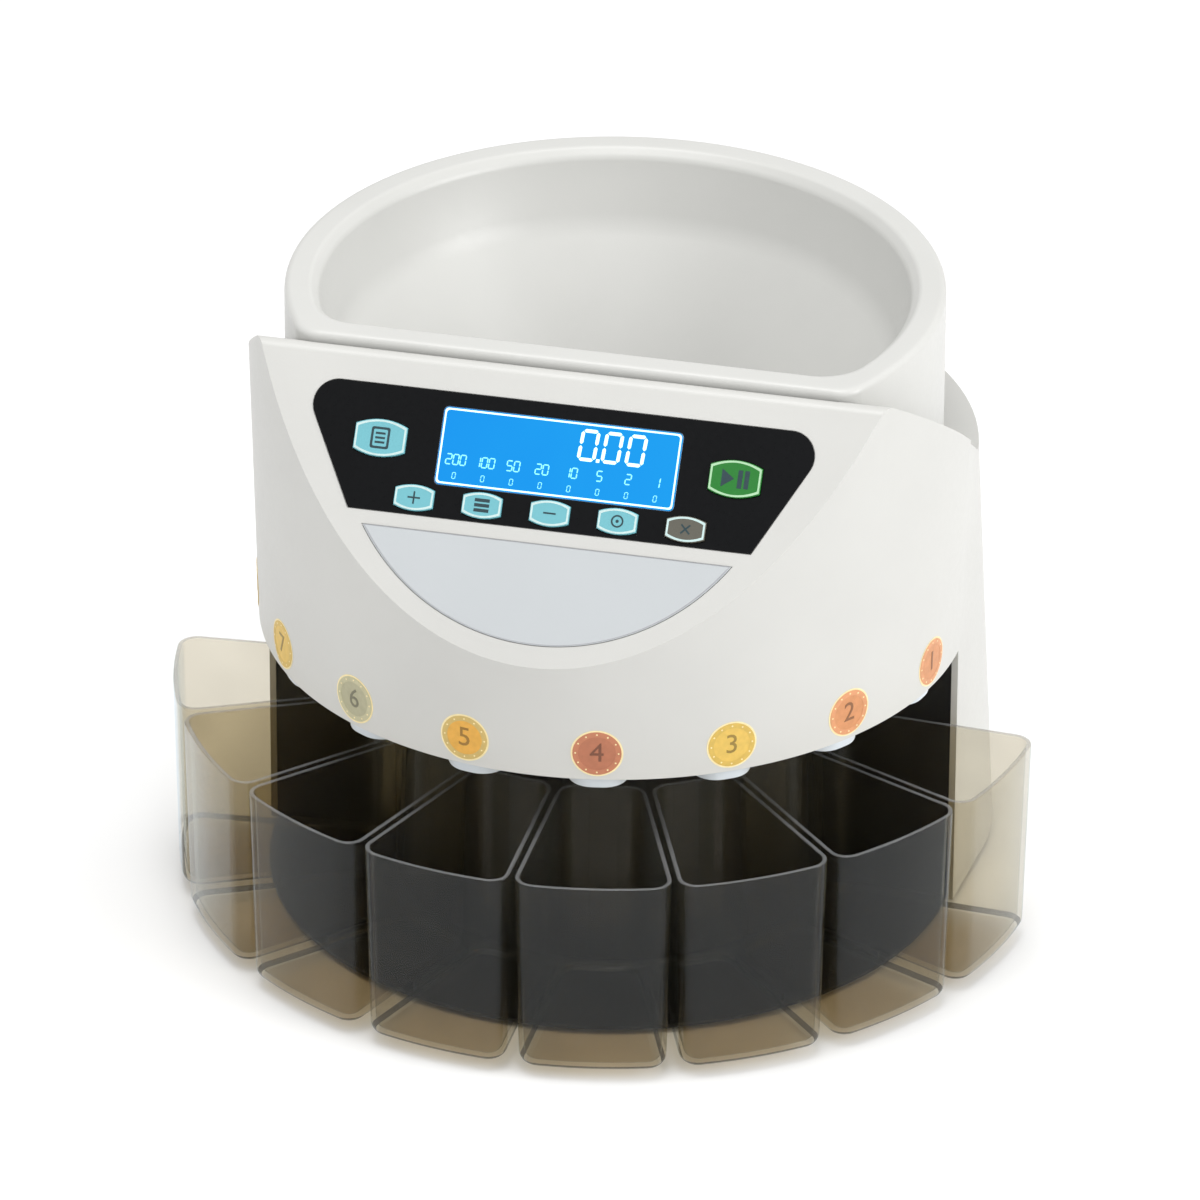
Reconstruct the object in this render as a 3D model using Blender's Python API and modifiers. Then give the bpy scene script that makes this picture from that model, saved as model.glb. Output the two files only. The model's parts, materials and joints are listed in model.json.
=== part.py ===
"""Coin sorting machine: a table-top machine that sorts mixed coins into eight pull-out cups.

Metres, +Z up, front towards -Y. The origin lies on the surface that the feet stand on, under the
middle of the machine's bounding box. Plan positions below are measured from the sorting axis, the
vertical line through the middle of the cup ring and the sorting disc.
"""

import math

import bmesh
import bpy
from mathutils import Matrix

MM = 0.001
GAP = 0.3 * MM

# Whole machine
HEIGHT = 266 * MM
CUP_RING_R = 178.6 * MM
CUP_FRONT = 178.4 * MM
REAR_Y = 152 * MM
RING_Y = (CUP_FRONT - REAR_Y) / 2

# Housing shell: round front, rounded rear, and a top that falls back from the ridge
WALL = 2.6 * MM
SKIRT_Z = 119 * MM
SKIRT_R = 143.5 * MM
TOP_R = 147 * MM
SIDE_W_FLOOR = 147 * MM
SIDE_W_SHOULDER = 143.9 * MM
CORNER_R_FLOOR = 104 * MM
CORNER_R_SHOULDER = 139 * MM
HOUSING_Z = 3 * MM
SHOULDER_Z = 191 * MM
SHOULDER_Y = 32 * MM
RIDGE_Y = -76 * MM
RIDGE_Z = 262 * MM
RIDGE_TOP = 4.2 * MM
BAY_Y = -4 * MM

# Slanted fascia, with its fittings given as (across, down the slope) from the ridge's middle
FASCIA_ANGLE = math.radians(53.9)
RECESS = 0.6 * MM
OVERLAY_TOP = (107.7 * MM, 11.8 * MM)
OVERLAY_BOTTOM = (81.2 * MM, 61.9 * MM)
OVERLAY_CORNER_R = 10 * MM
LCD_SIZE = (96.4 * MM, 31 * MM)
LCD_DOWN = 33.2 * MM
BADGE_HALF_W = 74.4 * MM
BADGE_DOWN = (67.9 * MM, 107.6 * MM)
BIG_KEY = (21 * MM, 15 * MM)
SMALL_KEY = (16 * MM, 10.5 * MM)
KEY_BARREL = 0.16
KEY_TRAVEL = 0.8 * MM
KEYS = {
    "key_report": (-72.1 * MM, 33.3 * MM, BIG_KEY, "teal"),
    "key_start_stop": (71.2 * MM, 33.3 * MM, BIG_KEY, "green"),
    "key_plus": (-55.2 * MM, 55.3 * MM, SMALL_KEY, "teal"),
    "key_batch": (-27.7 * MM, 55.3 * MM, SMALL_KEY, "teal"),
    "key_minus": (-0.3 * MM, 55.3 * MM, SMALL_KEY, "teal"),
    "key_set": (27.0 * MM, 55.3 * MM, SMALL_KEY, "teal"),
    "key_clear": (54.4 * MM, 55.3 * MM, SMALL_KEY, "grey"),
}

# Hopper
HOPPER_R = 132 * MM
HOPPER_FRONT = 71 * MM
HOPPER_Z = 187.5 * MM
HOPPER_WALL = 2.6 * MM
THROAT_R = 61 * MM
THROAT_Z = 165 * MM
HOPPER_HOLE_GAP = 1.2 * MM
HINGE_Y = 141 * MM
HINGE_Z = 196.5 * MM
HINGE_R = 4.6 * MM
PIN_R = 2 * MM
LUG_X = 40 * MM
EAR_X = 30 * MM
LUG_W = 8 * MM

# Cups and chutes
CUPS = 8
PITCH = math.radians(21.5)
CUP_Z = 4.6 * MM
CUP_TOP = 89 * MM
CUP_R_IN = 95 * MM
CUP_WALL = 2 * MM
CUP_CORNER = 8 * MM
CUP_FLOOR_R = 5 * MM
CHUTE_R = 126 * MM
CHUTE_SIZE = (24 * MM, 20 * MM)
CHUTE_WALL = 1.6 * MM
CHUTE_Z = (113.5 * MM, 157.6 * MM)
CHUTE_FLARE = 4.5 * MM
CHUTE_FLARE_Z = (117 * MM, 124 * MM)

# Base and inner frame
FOOT_R = 9 * MM
FOOT_H = 2.2 * MM
TRAY_Z = (2.5 * MM, 4.2 * MM)
TRAY_R = 140.4 * MM
RIB = (1.4 * MM, 3.5 * MM)
DRUM_R = 88.5 * MM
CHASSIS_Z = (148 * MM, 151 * MM)
CHASSIS_R = 138.5 * MM

# Sorting unit
SORT_RING_Z = (158 * MM, 159.5 * MM)
SORT_RING_R = (85.2 * MM, 138 * MM)
DISC_R = 84.6 * MM
DISC_Z = (156.5 * MM, 160 * MM)
SWEEP_Z = (160.3 * MM, 163.8 * MM)
SWEEP_R = 132.8 * MM
SWEEP_ARMS = 8
RAIL_R = (134 * MM, 137.5 * MM)
RAIL_Z = (159.8 * MM, 166 * MM)
SHAFT_R = 5 * MM
SHAFT_Z = (86 * MM, 164 * MM)
COIN_MM = (16.2, 18.7, 19.7, 21.2, 22.2, 23.2, 24.2, 25.7)

# Drive
MODULE = 2 * MM
GEAR_TEETH = 38
PINION_TEETH = 12
GEAR_Z = (90 * MM, 97 * MM)
MOTOR_Y = MODULE * (GEAR_TEETH + PINION_TEETH) / 2

# Rear connections
PANEL = (96 * MM, 50 * MM, 2 * MM)
PANEL_Z = 37 * MM
PANEL_Y = REAR_Y - 2.4 * MM

COLOURS = {
    "warm_white": ((0.82, 0.82, 0.79), 0.42, 0.0),
    "black_plastic": ((0.02, 0.02, 0.022), 0.5, 0.0),
    "gloss_black": ((0.011, 0.012, 0.015), 0.25, 0.0),
    "smoke": ((0.22, 0.18, 0.14), 0.2, 0.0),
    "teal": ((0.16, 0.5, 0.55), 0.4, 0.0),
    "green": ((0.02, 0.24, 0.03), 0.4, 0.0),
    "grey": ((0.1, 0.1, 0.08), 0.4, 0.0),
    "badge": ((0.66, 0.69, 0.75), 0.35, 0.0),
    "lcd_blue": ((0.01, 0.35, 0.95), 0.15, 0.0),
    "board_green": ((0.02, 0.14, 0.06), 0.5, 0.0),
    "steel": ((0.55, 0.56, 0.57), 0.3, 1.0),
    "aluminium": ((0.7, 0.71, 0.72), 0.35, 1.0),
    "rubber": ((0.03, 0.03, 0.03), 0.8, 0.0),
    "chute_grey": ((0.62, 0.66, 0.72), 0.4, 0.0),
    "nylon": ((0.75, 0.73, 0.66), 0.5, 0.0),
}

for old in list(bpy.data.objects):
    bpy.data.objects.remove(old, do_unlink=True)

parts = bpy.data.collections.new("coin_sorting_machine")
cutters = bpy.data.collections.new("cutters")
for group in (parts, cutters):
    bpy.context.scene.collection.children.link(group)


def material(name):
    """The named finish, made once."""
    found = bpy.data.materials.get(name)
    if found:
        return found
    made = bpy.data.materials.new(name)
    made.use_nodes = True
    shader = made.node_tree.nodes["Principled BSDF"]
    colour, roughness, metallic = COLOURS[name]
    shader.inputs["Base Color"].default_value = (*colour, 1)
    shader.inputs["Roughness"].default_value = roughness
    shader.inputs["Metallic"].default_value = metallic
    return made


def empty(name, location=(0, 0, 0), rotation=(0, 0, 0), parent=None):
    """A frame that pieces are placed in."""
    frame = bpy.data.objects.new(name, None)
    parts.objects.link(frame)
    frame.location = location
    frame.rotation_euler = rotation
    frame.parent = parent
    return frame


machine = empty("sorting_axis", (0, RING_Y, 0))
fascia = empty("fascia_frame", (0, RIDGE_Y, RIDGE_Z), (FASCIA_ANGLE, 0, 0), machine)


def place(name, mesh, finish, location=(0, 0, 0), rotation=(0, 0, 0), parent=None):
    """A finished piece in the machine's collection."""
    piece = bpy.data.objects.new(name, mesh)
    parts.objects.link(piece)
    piece.location = location
    piece.rotation_euler = rotation
    piece.parent = parent or machine
    mesh.materials.clear()
    mesh.materials.append(material(finish))
    mesh.shade_smooth()
    mesh.set_sharp_from_angle(angle=math.radians(35))
    return piece


def mesh_of(bm, name):
    """A mesh from a bmesh, with its faces pointing out."""
    bmesh.ops.recalc_face_normals(bm, faces=bm.faces)
    mesh = bpy.data.meshes.new(name)
    bm.to_mesh(mesh)
    bm.free()
    return mesh


def flat(name, outlines, low, high):
    """A plate between two heights, from an outline and the outlines of its holes."""
    curve = bpy.data.curves.new(name, "CURVE")
    curve.dimensions = "2D"
    curve.fill_mode = "BOTH"
    curve.extrude = (high - low) / 2
    for outline in outlines:
        spline = curve.splines.new("POLY")
        spline.points.add(len(outline) - 1)
        for point, (x, y) in zip(spline.points, outline):
            point.co = (x, y, 0, 1)
        spline.use_cyclic_u = True
    source = bpy.data.objects.new(name, curve)
    parts.objects.link(source)
    mesh = bpy.data.meshes.new_from_object(source)
    bpy.data.objects.remove(source)
    bm = bmesh.new()
    bm.from_mesh(mesh)
    bmesh.ops.remove_doubles(bm, verts=bm.verts, dist=0.00001)
    bmesh.ops.translate(bm, verts=bm.verts, vec=(0, 0, (low + high) / 2))
    bm.to_mesh(mesh)
    bm.free()
    return mesh


def turned(name, profile, finish, steps=48, **where):
    """A turned piece; the profile is (radius, height) pairs down its outer side."""
    mesh = bpy.data.meshes.new(name)
    closed = min(r for r, _ in profile) > 0
    edges = [(i, i + 1) for i in range(len(profile) - 1)]
    if closed:
        edges.append((len(profile) - 1, 0))
    mesh.from_pydata([(r, 0, z) for r, z in profile], edges, [])
    piece = place(name, mesh, finish, **where)
    screw = piece.modifiers.new("turn", "SCREW")
    screw.steps = steps
    screw.render_steps = steps
    screw.use_merge_vertices = True
    screw.merge_threshold = 0.00001
    return piece


def loft(name, rings, ends=True):
    """A body through rings of points; without ends the last ring joins the first."""
    bm = bmesh.new()
    loops = [[bm.verts.new(p) for p in ring] for ring in rings]
    pairs = list(zip(loops, loops[1:]))
    if not ends:
        pairs.append((loops[-1], loops[0]))
    for low, high in pairs:
        for i in range(len(low)):
            j = (i + 1) % len(low)
            bm.faces.new((low[i], low[j], high[j], high[i]))
    if ends:
        bm.faces.new(loops[0])
        bm.faces.new(loops[-1])
    return mesh_of(bm, name)


def box(name, size, finish=None, bevel=0.0, **where):
    """A box centred on its own origin; without a finish it is a cutter."""
    bm = bmesh.new()
    bmesh.ops.create_cube(bm, size=1, matrix=Matrix.Diagonal((*size, 1)))
    mesh = mesh_of(bm, name)
    if finish is None:
        return cutter(name, mesh, **where)
    piece = place(name, mesh, finish, **where)
    if bevel:
        round_edges(piece, bevel)
    return piece


def round_edges(piece, width, segments=1):
    """Bevels a piece's sharp edges."""
    bevel = piece.modifiers.new("edges", "BEVEL")
    bevel.width = width
    bevel.segments = segments
    bevel.angle_limit = math.radians(40)


def cutter(name, mesh, location=(0, 0, 0), rotation=(0, 0, 0), parent=None):
    """A hidden cutting body."""
    tool = bpy.data.objects.new(name, mesh)
    cutters.objects.link(tool)
    tool.location = location
    tool.rotation_euler = rotation
    tool.parent = parent or machine
    tool.hide_render = True
    tool.display_type = "WIRE"
    return tool


def combine(piece, tool, operation="DIFFERENCE"):
    """Cuts a tool from a piece, or joins it on."""
    step = piece.modifiers.new(tool.name, "BOOLEAN")
    step.operation = operation
    step.object = tool
    return piece


def polar(radius, angle, centre=(0, 0)):
    """The point at a radius and an angle in degrees from +X."""
    turn = math.radians(angle)
    return (centre[0] + radius * math.cos(turn), centre[1] + radius * math.sin(turn))


def arc(radius, start, end, count, centre=(0, 0)):
    """Points on an arc, its ends included; angles in degrees from +X."""
    return [polar(radius, start + (end - start) * i / (count - 1), centre) for i in range(count)]


def circle(radius, count, centre=(0, 0)):
    """Points round a full circle."""
    return arc(radius, 0, 360 * (count - 1) / count, count, centre)


def rounded_box(width, height, radius, centre=(0, 0), count=3):
    """The outline of a rectangle with round corners."""
    outline = []
    for sx, sy, start in ((1, 1, 0), (-1, 1, 90), (-1, -1, 180), (1, -1, 270)):
        corner = (centre[0] + sx * (width / 2 - radius), centre[1] + sy * (height / 2 - radius))
        outline += arc(radius, start, start + 90, count, corner)
    return outline


def turn_points(points, angle):
    """Points of the plan turned about the sorting axis."""
    c, s = math.cos(angle), math.sin(angle)
    return [(x * c - y * s, x * s + y * c) for x, y in points]


def raised(points, z):
    """Plan points at one height."""
    return [(x, y, z) for x, y in points]


def blend(low, high, t):
    """A value part of the way from one to another."""
    return low + (high - low) * t


# --- housing -------------------------------------------------------------------------------


def housing_plan(z, inset=0.0):
    """The housing's outline at a height: a round front and a broad rounded rear."""
    rise = (z - HOUSING_Z) / (SHOULDER_Z - HOUSING_Z)
    front = blend(SKIRT_R, TOP_R, max(z - SKIRT_Z, 0) / (RIDGE_Z - SKIRT_Z)) - inset
    side = blend(SIDE_W_FLOOR, SIDE_W_SHOULDER, rise) - inset
    corner = blend(CORNER_R_FLOOR, CORNER_R_SHOULDER, rise) - inset
    rear = REAR_Y - inset
    outline = arc(front, 180, 360, 33)
    outline += arc(corner, 0, 90, 13, (side - corner, rear - corner))
    outline += arc(corner, 90, 180, 13, (corner - side, rear - corner))
    return outline


def top_profile(inset=0.0):
    """Side view of all that lies above the housing, as (back, up) points."""
    slope = math.tan(FASCIA_ANGLE)
    fall = (RIDGE_Z - SHOULDER_Z) / (SHOULDER_Y - RIDGE_Y - RIDGE_TOP)
    front = -200 * MM
    ridge = RIDGE_Z - inset
    drop_front = inset * math.hypot(1, slope)
    drop_back = inset * math.hypot(1, fall)
    ridge_front = RIDGE_Y + (drop_front - inset) / slope
    ridge_back = RIDGE_Y + RIDGE_TOP - (drop_back - inset) / fall
    shoulder = SHOULDER_Y - (drop_back - inset) / fall
    return [
        (front, ridge + (front - ridge_front) * slope),
        (ridge_front, ridge),
        (ridge_back, ridge),
        (shoulder, SHOULDER_Z - inset),
        (200 * MM, SHOULDER_Z - inset),
        (200 * MM, 400 * MM),
        (front, 400 * MM),
    ]


def across(name, profile, half_width):
    """A body with one side view all the way across the machine."""
    rings = [[(x, y, z) for y, z in profile] for x in (-half_width, half_width)]
    return cutter(name, loft(name, rings))


def hopper_plan(radius, front, corner=12 * MM):
    """A circle cut off straight across the front, with round corners; a full circle if front is None."""
    if front is None:
        chord = arc(radius, -90 - 25, -90 + 25, 9)
        right = arc(radius, -90 + 25, -90 + 60, 6)[1:]
        back = arc(radius, -30, 210, 31)[1:-1]
    else:
        cy = corner - front
        cx = math.sqrt((radius - corner) ** 2 - cy**2)
        lean = math.degrees(math.atan2(cy, cx))
        chord = [(cx * (2 * i / 8 - 1), -front) for i in range(9)]
        right = arc(corner, -90, lean, 6, (cx, cy))[1:]
        back = arc(radius, lean, 180 - lean, 31)[1:-1]
    left = [(-x, y) for x, y in reversed(right)]
    return chord + right + back + left


def build_housing():
    """The white shell, with the hopper's hole, the cup bay and the fascia's windows cut out."""
    levels = (HOUSING_Z, SKIRT_Z, SHOULDER_Z, RIDGE_Z + 5 * MM)
    shell = loft("main_housing", [raised(housing_plan(z), z) for z in levels])
    housing = place("main_housing", shell, "warm_white")
    combine(housing, across("housing_top_cut", top_profile(), 200 * MM))

    inner_levels = (HOUSING_Z - 5 * MM, SKIRT_Z, SHOULDER_Z, RIDGE_Z + 5 * MM)
    inside = cutter(
        "housing_inside",
        loft("housing_inside", [raised(housing_plan(z, WALL), z) for z in inner_levels]),
    )
    combine(inside, across("inside_top_cut", top_profile(WALL), 190 * MM))
    combine(housing, inside)

    bay = (320 * MM, 200 * MM, SKIRT_Z)
    combine(housing, box("bay_cut", bay, location=(0, BAY_Y - 100 * MM, SKIRT_Z / 2)))

    hole = flat(
        "hopper_hole",
        [hopper_plan(HOPPER_R + HOPPER_HOLE_GAP, HOPPER_FRONT + HOPPER_HOLE_GAP, 13 * MM)],
        SHOULDER_Z - 8 * MM,
        RIDGE_Z + 20 * MM,
    )
    combine(housing, cutter("hopper_hole", hole))

    for side in (-1, 1):
        outline = arc(HINGE_R, 0, 180, 9, (HINGE_Y, HINGE_Z))
        outline += [(HINGE_Y - HINGE_R, SHOULDER_Z - MM), (HINGE_Y + HINGE_R, SHOULDER_Z - MM)]
        combine(housing, hinge_block(f"hinge_ear_{side}", side * EAR_X, outline), "UNION")
    combine(housing, across_cylinder("ear_bore", PIN_R + GAP, 120 * MM))

    recesses = [("overlay_recess", overlay_outline(GAP)), ("badge_recess", badge_outline(GAP))]
    for name, outline in recesses:
        recess = flat(name, [outline], -RECESS, 5 * MM)
        combine(housing, cutter(name, recess, parent=fascia))
    window = rounded_box(LCD_SIZE[0] - 4 * MM, LCD_SIZE[1] - 4 * MM, MM, (0, -LCD_DOWN))
    openings = {"lcd": window}
    for key, (x, down, size, _) in KEYS.items():
        openings[key] = key_outline(size, GAP, (x, -down))
    for name, outline in openings.items():
        hole = flat(name + "_hole", [outline], -6 * MM, 3 * MM)
        combine(housing, cutter(name + "_hole", hole, parent=fascia))

    recess = (PANEL[0] + 2 * GAP, 10 * MM, PANEL[1] + 2 * GAP)
    face = PANEL_Y - PANEL[2] - GAP
    combine(housing, box("panel_recess", recess, location=(0, face + 5 * MM, PANEL_Z)))
    opening = (PANEL[0] - 8 * MM, 30 * MM, PANEL[1] - 8 * MM)
    pocket = (PANEL[0] + 6 * MM, 3 * MM, PANEL[1] + 6 * MM)
    backing = box("panel_backing", pocket, location=(0, face - 1.5 * MM, PANEL_Z))
    combine(housing, backing, "UNION")
    combine(housing, box("panel_opening", opening, location=(0, REAR_Y, PANEL_Z)))
    for x, z in screw_places():
        bore = cylinder_mesh("screw_bore", 1.6 * MM, 14 * MM, 12)
        spot = (x, face, z)
        combine(housing, cutter("screw_bore", bore, spot, (math.pi / 2, 0, 0)))


def hinge_block(name, x, outline):
    """A hinge ear or lug, from its side view."""
    rings = [[(x + dx, y, z) for y, z in outline] for dx in (-LUG_W / 2, LUG_W / 2)]
    return cutter(name, loft(name, rings))


def across_cylinder(name, radius, length):
    """A round cutter along the hinge axis."""
    mesh = cylinder_mesh(name, radius, length, 16)
    return cutter(name, mesh, (0, HINGE_Y, HINGE_Z), (0, math.pi / 2, 0))


def cylinder_mesh(name, radius, length, count, top=None):
    """A cylinder or cone about its own origin."""
    bm = bmesh.new()
    bmesh.ops.create_cone(
        bm,
        cap_ends=True,
        segments=count,
        radius1=radius,
        radius2=radius if top is None else top,
        depth=length,
    )
    return mesh_of(bm, name)


def overlay_outline(grow=0.0):
    """The control overlay: a wide trapezium with round top corners."""
    (top_x, top_down), (low_x, low_down) = OVERLAY_TOP, OVERLAY_BOTTOM
    lean = math.degrees(math.atan2(low_down - top_down, top_x - low_x))
    r = OVERLAY_CORNER_R
    back = r / math.tan(math.radians(lean) / 2)
    centre = (top_x - back, -top_down - r)
    side = arc(r + grow, 90, lean - 90, 6, centre)
    right = side + [(low_x + grow, -low_down - grow)]
    return right + [(-x, y) for x, y in reversed(right)]


def badge_outline(grow=0.0):
    """The badge plate: straight across the top and bowed below."""
    high, low = BADGE_DOWN
    sag = low - high
    radius = (BADGE_HALF_W**2 + sag**2) / (2 * sag)
    reach = math.degrees(math.asin(BADGE_HALF_W / radius))
    outline = arc(radius + grow, -90 - reach, -90 + reach, 17, (0, radius - low))
    if grow:
        outline += [(BADGE_HALF_W + 2 * grow, grow - high), (-BADGE_HALF_W - 2 * grow, grow - high)]
    return outline


def key_outline(size, grow=0.0, centre=(0, 0)):
    """A key: straight sides, with top and bottom bowed out."""
    width, height = size[0] / 2 + grow, size[1] / 2 + grow
    bow = size[1] * KEY_BARREL
    upper = []
    for i in range(7):
        t = i / 3 - 1
        upper.append((centre[0] + width * t, centre[1] + height - bow * t * t))
    lower = [(x, 2 * centre[1] - y) for x, y in reversed(upper)]
    return upper + lower


def build_fascia():
    """The pieces let into the slanted fascia: overlay, display, badge and keys."""
    holes = [rounded_box(LCD_SIZE[0] + 2 * GAP, LCD_SIZE[1] + 2 * GAP, 2 * MM, (0, -LCD_DOWN))]
    holes += [key_outline(size, GAP, (x, -down)) for x, down, size, _ in KEYS.values()]
    low, high = -RECESS + GAP, GAP
    overlay = flat("control_overlay", [overlay_outline(), *holes], low, high)
    place("control_overlay", overlay, "gloss_black", parent=fascia)
    badge = flat("badge_plate", [badge_outline()], low, high)
    place("badge_plate", badge, "badge", parent=fascia)

    glass = flat("lcd_window", [rounded_box(*LCD_SIZE, 2 * MM)], low, high)
    place("lcd_window", glass, "lcd_blue", location=(0, -LCD_DOWN, 0), parent=fascia)
    depth = 8 * MM
    back = -WALL - GAP - depth / 2
    size = (104 * MM, 32 * MM, depth)
    box("lcd_module", size, "black_plastic", 0.6 * MM, location=(0, -LCD_DOWN, back), parent=fascia)

    top = -WALL - 2 * GAP - depth
    board = rounded_box(168 * MM, 44 * MM, 3 * MM, (0, -41 * MM))
    holes = [circle(1.6 * MM, 8, (x, y * MM)) for x in (-79 * MM, 79 * MM) for y in (-24, -58)]
    mesh = flat("display_board", [board, *holes], top - 1.6 * MM, top)
    place("display_board", mesh, "board_green", parent=fascia)

    for name, (x, down, size, finish) in KEYS.items():
        cap = flat(name, [key_outline(size)], -3.4 * MM, 1.3 * MM)
        key = place(name, cap, finish, location=(x, -down, 0), parent=fascia)
        round_edges(key, 0.4 * MM)


# --- hopper --------------------------------------------------------------------------------


def build_hopper():
    """The white bowl: a straight-fronted rim that narrows to a round throat over the disc."""
    w = HOPPER_WALL
    levels = [
        (HOPPER_R, HOPPER_FRONT, 12, HOPPER_Z),
        (HOPPER_R, HOPPER_FRONT, 12, HEIGHT - 3 * MM),
        (HOPPER_R - 2.6 * MM, HOPPER_FRONT - 2.6 * MM, 11, HEIGHT),
        (HOPPER_R - 11 * MM, HOPPER_FRONT - 12 * MM, 22, HEIGHT),
        (HOPPER_R - 13.5 * MM, HOPPER_FRONT - 14.5 * MM, 24, HEIGHT - 3.5 * MM),
        (HOPPER_R - 19 * MM, HOPPER_FRONT - 19 * MM, 28, HEIGHT - 26 * MM),
        (THROAT_R + 4 * MM, None, 0, THROAT_Z + 14 * MM),
        (THROAT_R, None, 0, THROAT_Z),
        (THROAT_R + w, None, 0, THROAT_Z),
        (THROAT_R + 4 * MM + w, None, 0, THROAT_Z + 13 * MM),
        (HOPPER_R - 16.4 * MM, HOPPER_FRONT - 16.2 * MM, 28, HEIGHT - 30 * MM),
        (HOPPER_R - 10.9 * MM, HOPPER_FRONT - 11.9 * MM, 22, HEIGHT - 7 * MM),
        (HOPPER_R - w, HOPPER_FRONT - w, 10, HEIGHT - 7 * MM),
        (HOPPER_R - w, HOPPER_FRONT - w, 10, HOPPER_Z),
    ]
    rings = [raised(hopper_plan(r, f, c * MM), z) for r, f, c, z in levels]
    hopper = place("hopper", loft("hopper", rings, ends=False), "warm_white")
    for side in (-1, 1):
        reach = math.sqrt(HOPPER_R**2 - LUG_X**2) - 2 * MM
        outline = arc(HINGE_R, -90, 90, 9, (HINGE_Y, HINGE_Z))
        outline += [(reach, HINGE_Z + HINGE_R), (reach, HINGE_Z - HINGE_R)]
        combine(hopper, hinge_block(f"hopper_lug_{side}", side * LUG_X, outline), "UNION")
    combine(hopper, across_cylinder("lug_bore", PIN_R + GAP, 120 * MM))
    pin = cylinder_mesh("hinge_pin", PIN_R, 2 * LUG_X + 14 * MM, 16)
    place("hinge_pin", pin, "steel", (0, HINGE_Y, HINGE_Z), (0, math.pi / 2, 0))


# --- cups and chutes -----------------------------------------------------------------------


def cup_plan(r_out, r_in, side_gap, corner):
    """A cup's outline seen from above, opening away from the axis along -Y."""
    half = PITCH / 2
    half_deg = math.degrees(half)
    outer = half - math.asin((side_gap + corner) / (r_out - corner))
    inner = half - math.asin((side_gap + corner) / (r_in + corner))
    centre_out = polar(r_out - corner, math.degrees(outer))
    centre_in = polar(r_in + corner, math.degrees(inner))
    upper = arc(r_out, 0, math.degrees(outer), 4)[1:-1]
    upper += arc(corner, math.degrees(outer), half_deg + 90, 5, centre_out)
    upper += arc(corner, half_deg + 90, math.degrees(inner) + 180, 4, centre_in)
    lower = [(x, -y) for x, y in reversed(upper)]
    outline = [(r_out, 0)] + upper + [(r_in, 0)] + lower
    return turn_points(outline, -math.pi / 2)


def cup_ring(t, z, inset=0.0):
    """One level of a cup; t runs from 0 at its floor to 1 at its rim, as the walls open out."""
    r_out = blend(CUP_RING_R - 1.5 * MM, CUP_RING_R, t) - inset
    r_in = blend(97.5 * MM, CUP_R_IN, t) + inset
    side_gap = blend(2.4 * MM, 1 * MM, t) + inset
    corner = max(CUP_CORNER - inset, 2.5 * MM)
    return raised(cup_plan(r_out, r_in, side_gap, corner), z)


def cup_places():
    """The angle of each cup from straight ahead, left to right."""
    return [(i - (CUPS - 1) / 2) * PITCH for i in range(CUPS)]


def build_cups():
    """Eight thin clear cups in an arc, each in a frame turned to its own direction."""
    f = CUP_FLOOR_R
    rings = [
        cup_ring(0, CUP_Z, f * 0.8),
        cup_ring(0, CUP_Z + f * 0.25, f * 0.25),
        cup_ring(0.05, CUP_Z + f),
        cup_ring(1, CUP_TOP),
        cup_ring(1, CUP_TOP, CUP_WALL),
        cup_ring(0.05, CUP_Z + f, CUP_WALL),
        cup_ring(0, CUP_Z + CUP_WALL, f * 0.8 + CUP_WALL * 0.6),
    ]
    for number, angle in enumerate(cup_places(), 1):
        frame = empty(f"cup_frame_{number}", rotation=(0, 0, angle), parent=machine)
        place(f"coin_cup_{number}", loft("coin_cup", rings), "smoke", parent=frame)
        build_chute(number, frame)


def chute_ring(inset, flare, z):
    """One level of a chute; its outer side flares out and rounds off towards the mouth."""
    half = CHUTE_SIZE[0] / 2 - inset
    depth = CHUTE_SIZE[1] / 2 - inset
    outline = []
    for sx, sy, start in ((1, 1, 0), (-1, 1, 90), (-1, -1, 180), (1, -1, 270)):
        outer = sy < 0
        radius = (10 * MM if outer and flare else 6 * MM) - inset
        reach = depth + (CHUTE_FLARE if outer and flare else 0)
        outline += arc(radius, start, start + 90, 3, (sx * (half - radius), sy * (reach - radius)))
    return raised(outline, z)


def build_chute(number, frame):
    """The tube that drops one size of coin from the sorting ring into its cup."""
    low, high = CHUTE_Z
    mouth, neck = CHUTE_FLARE_Z
    levels = [(high, False), (neck, False), (mouth, True), (low, True)]
    rings = [chute_ring(0, flare, z) for z, flare in levels]
    rings += [chute_ring(CHUTE_WALL, flare, z) for z, flare in reversed(levels)]
    tube = loft(f"coin_chute_{number}", rings, ends=False)
    place(f"coin_chute_{number}", tube, "chute_grey", location=(0, -CHUTE_R, 0), parent=frame)


# --- base and frame ------------------------------------------------------------------------


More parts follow.
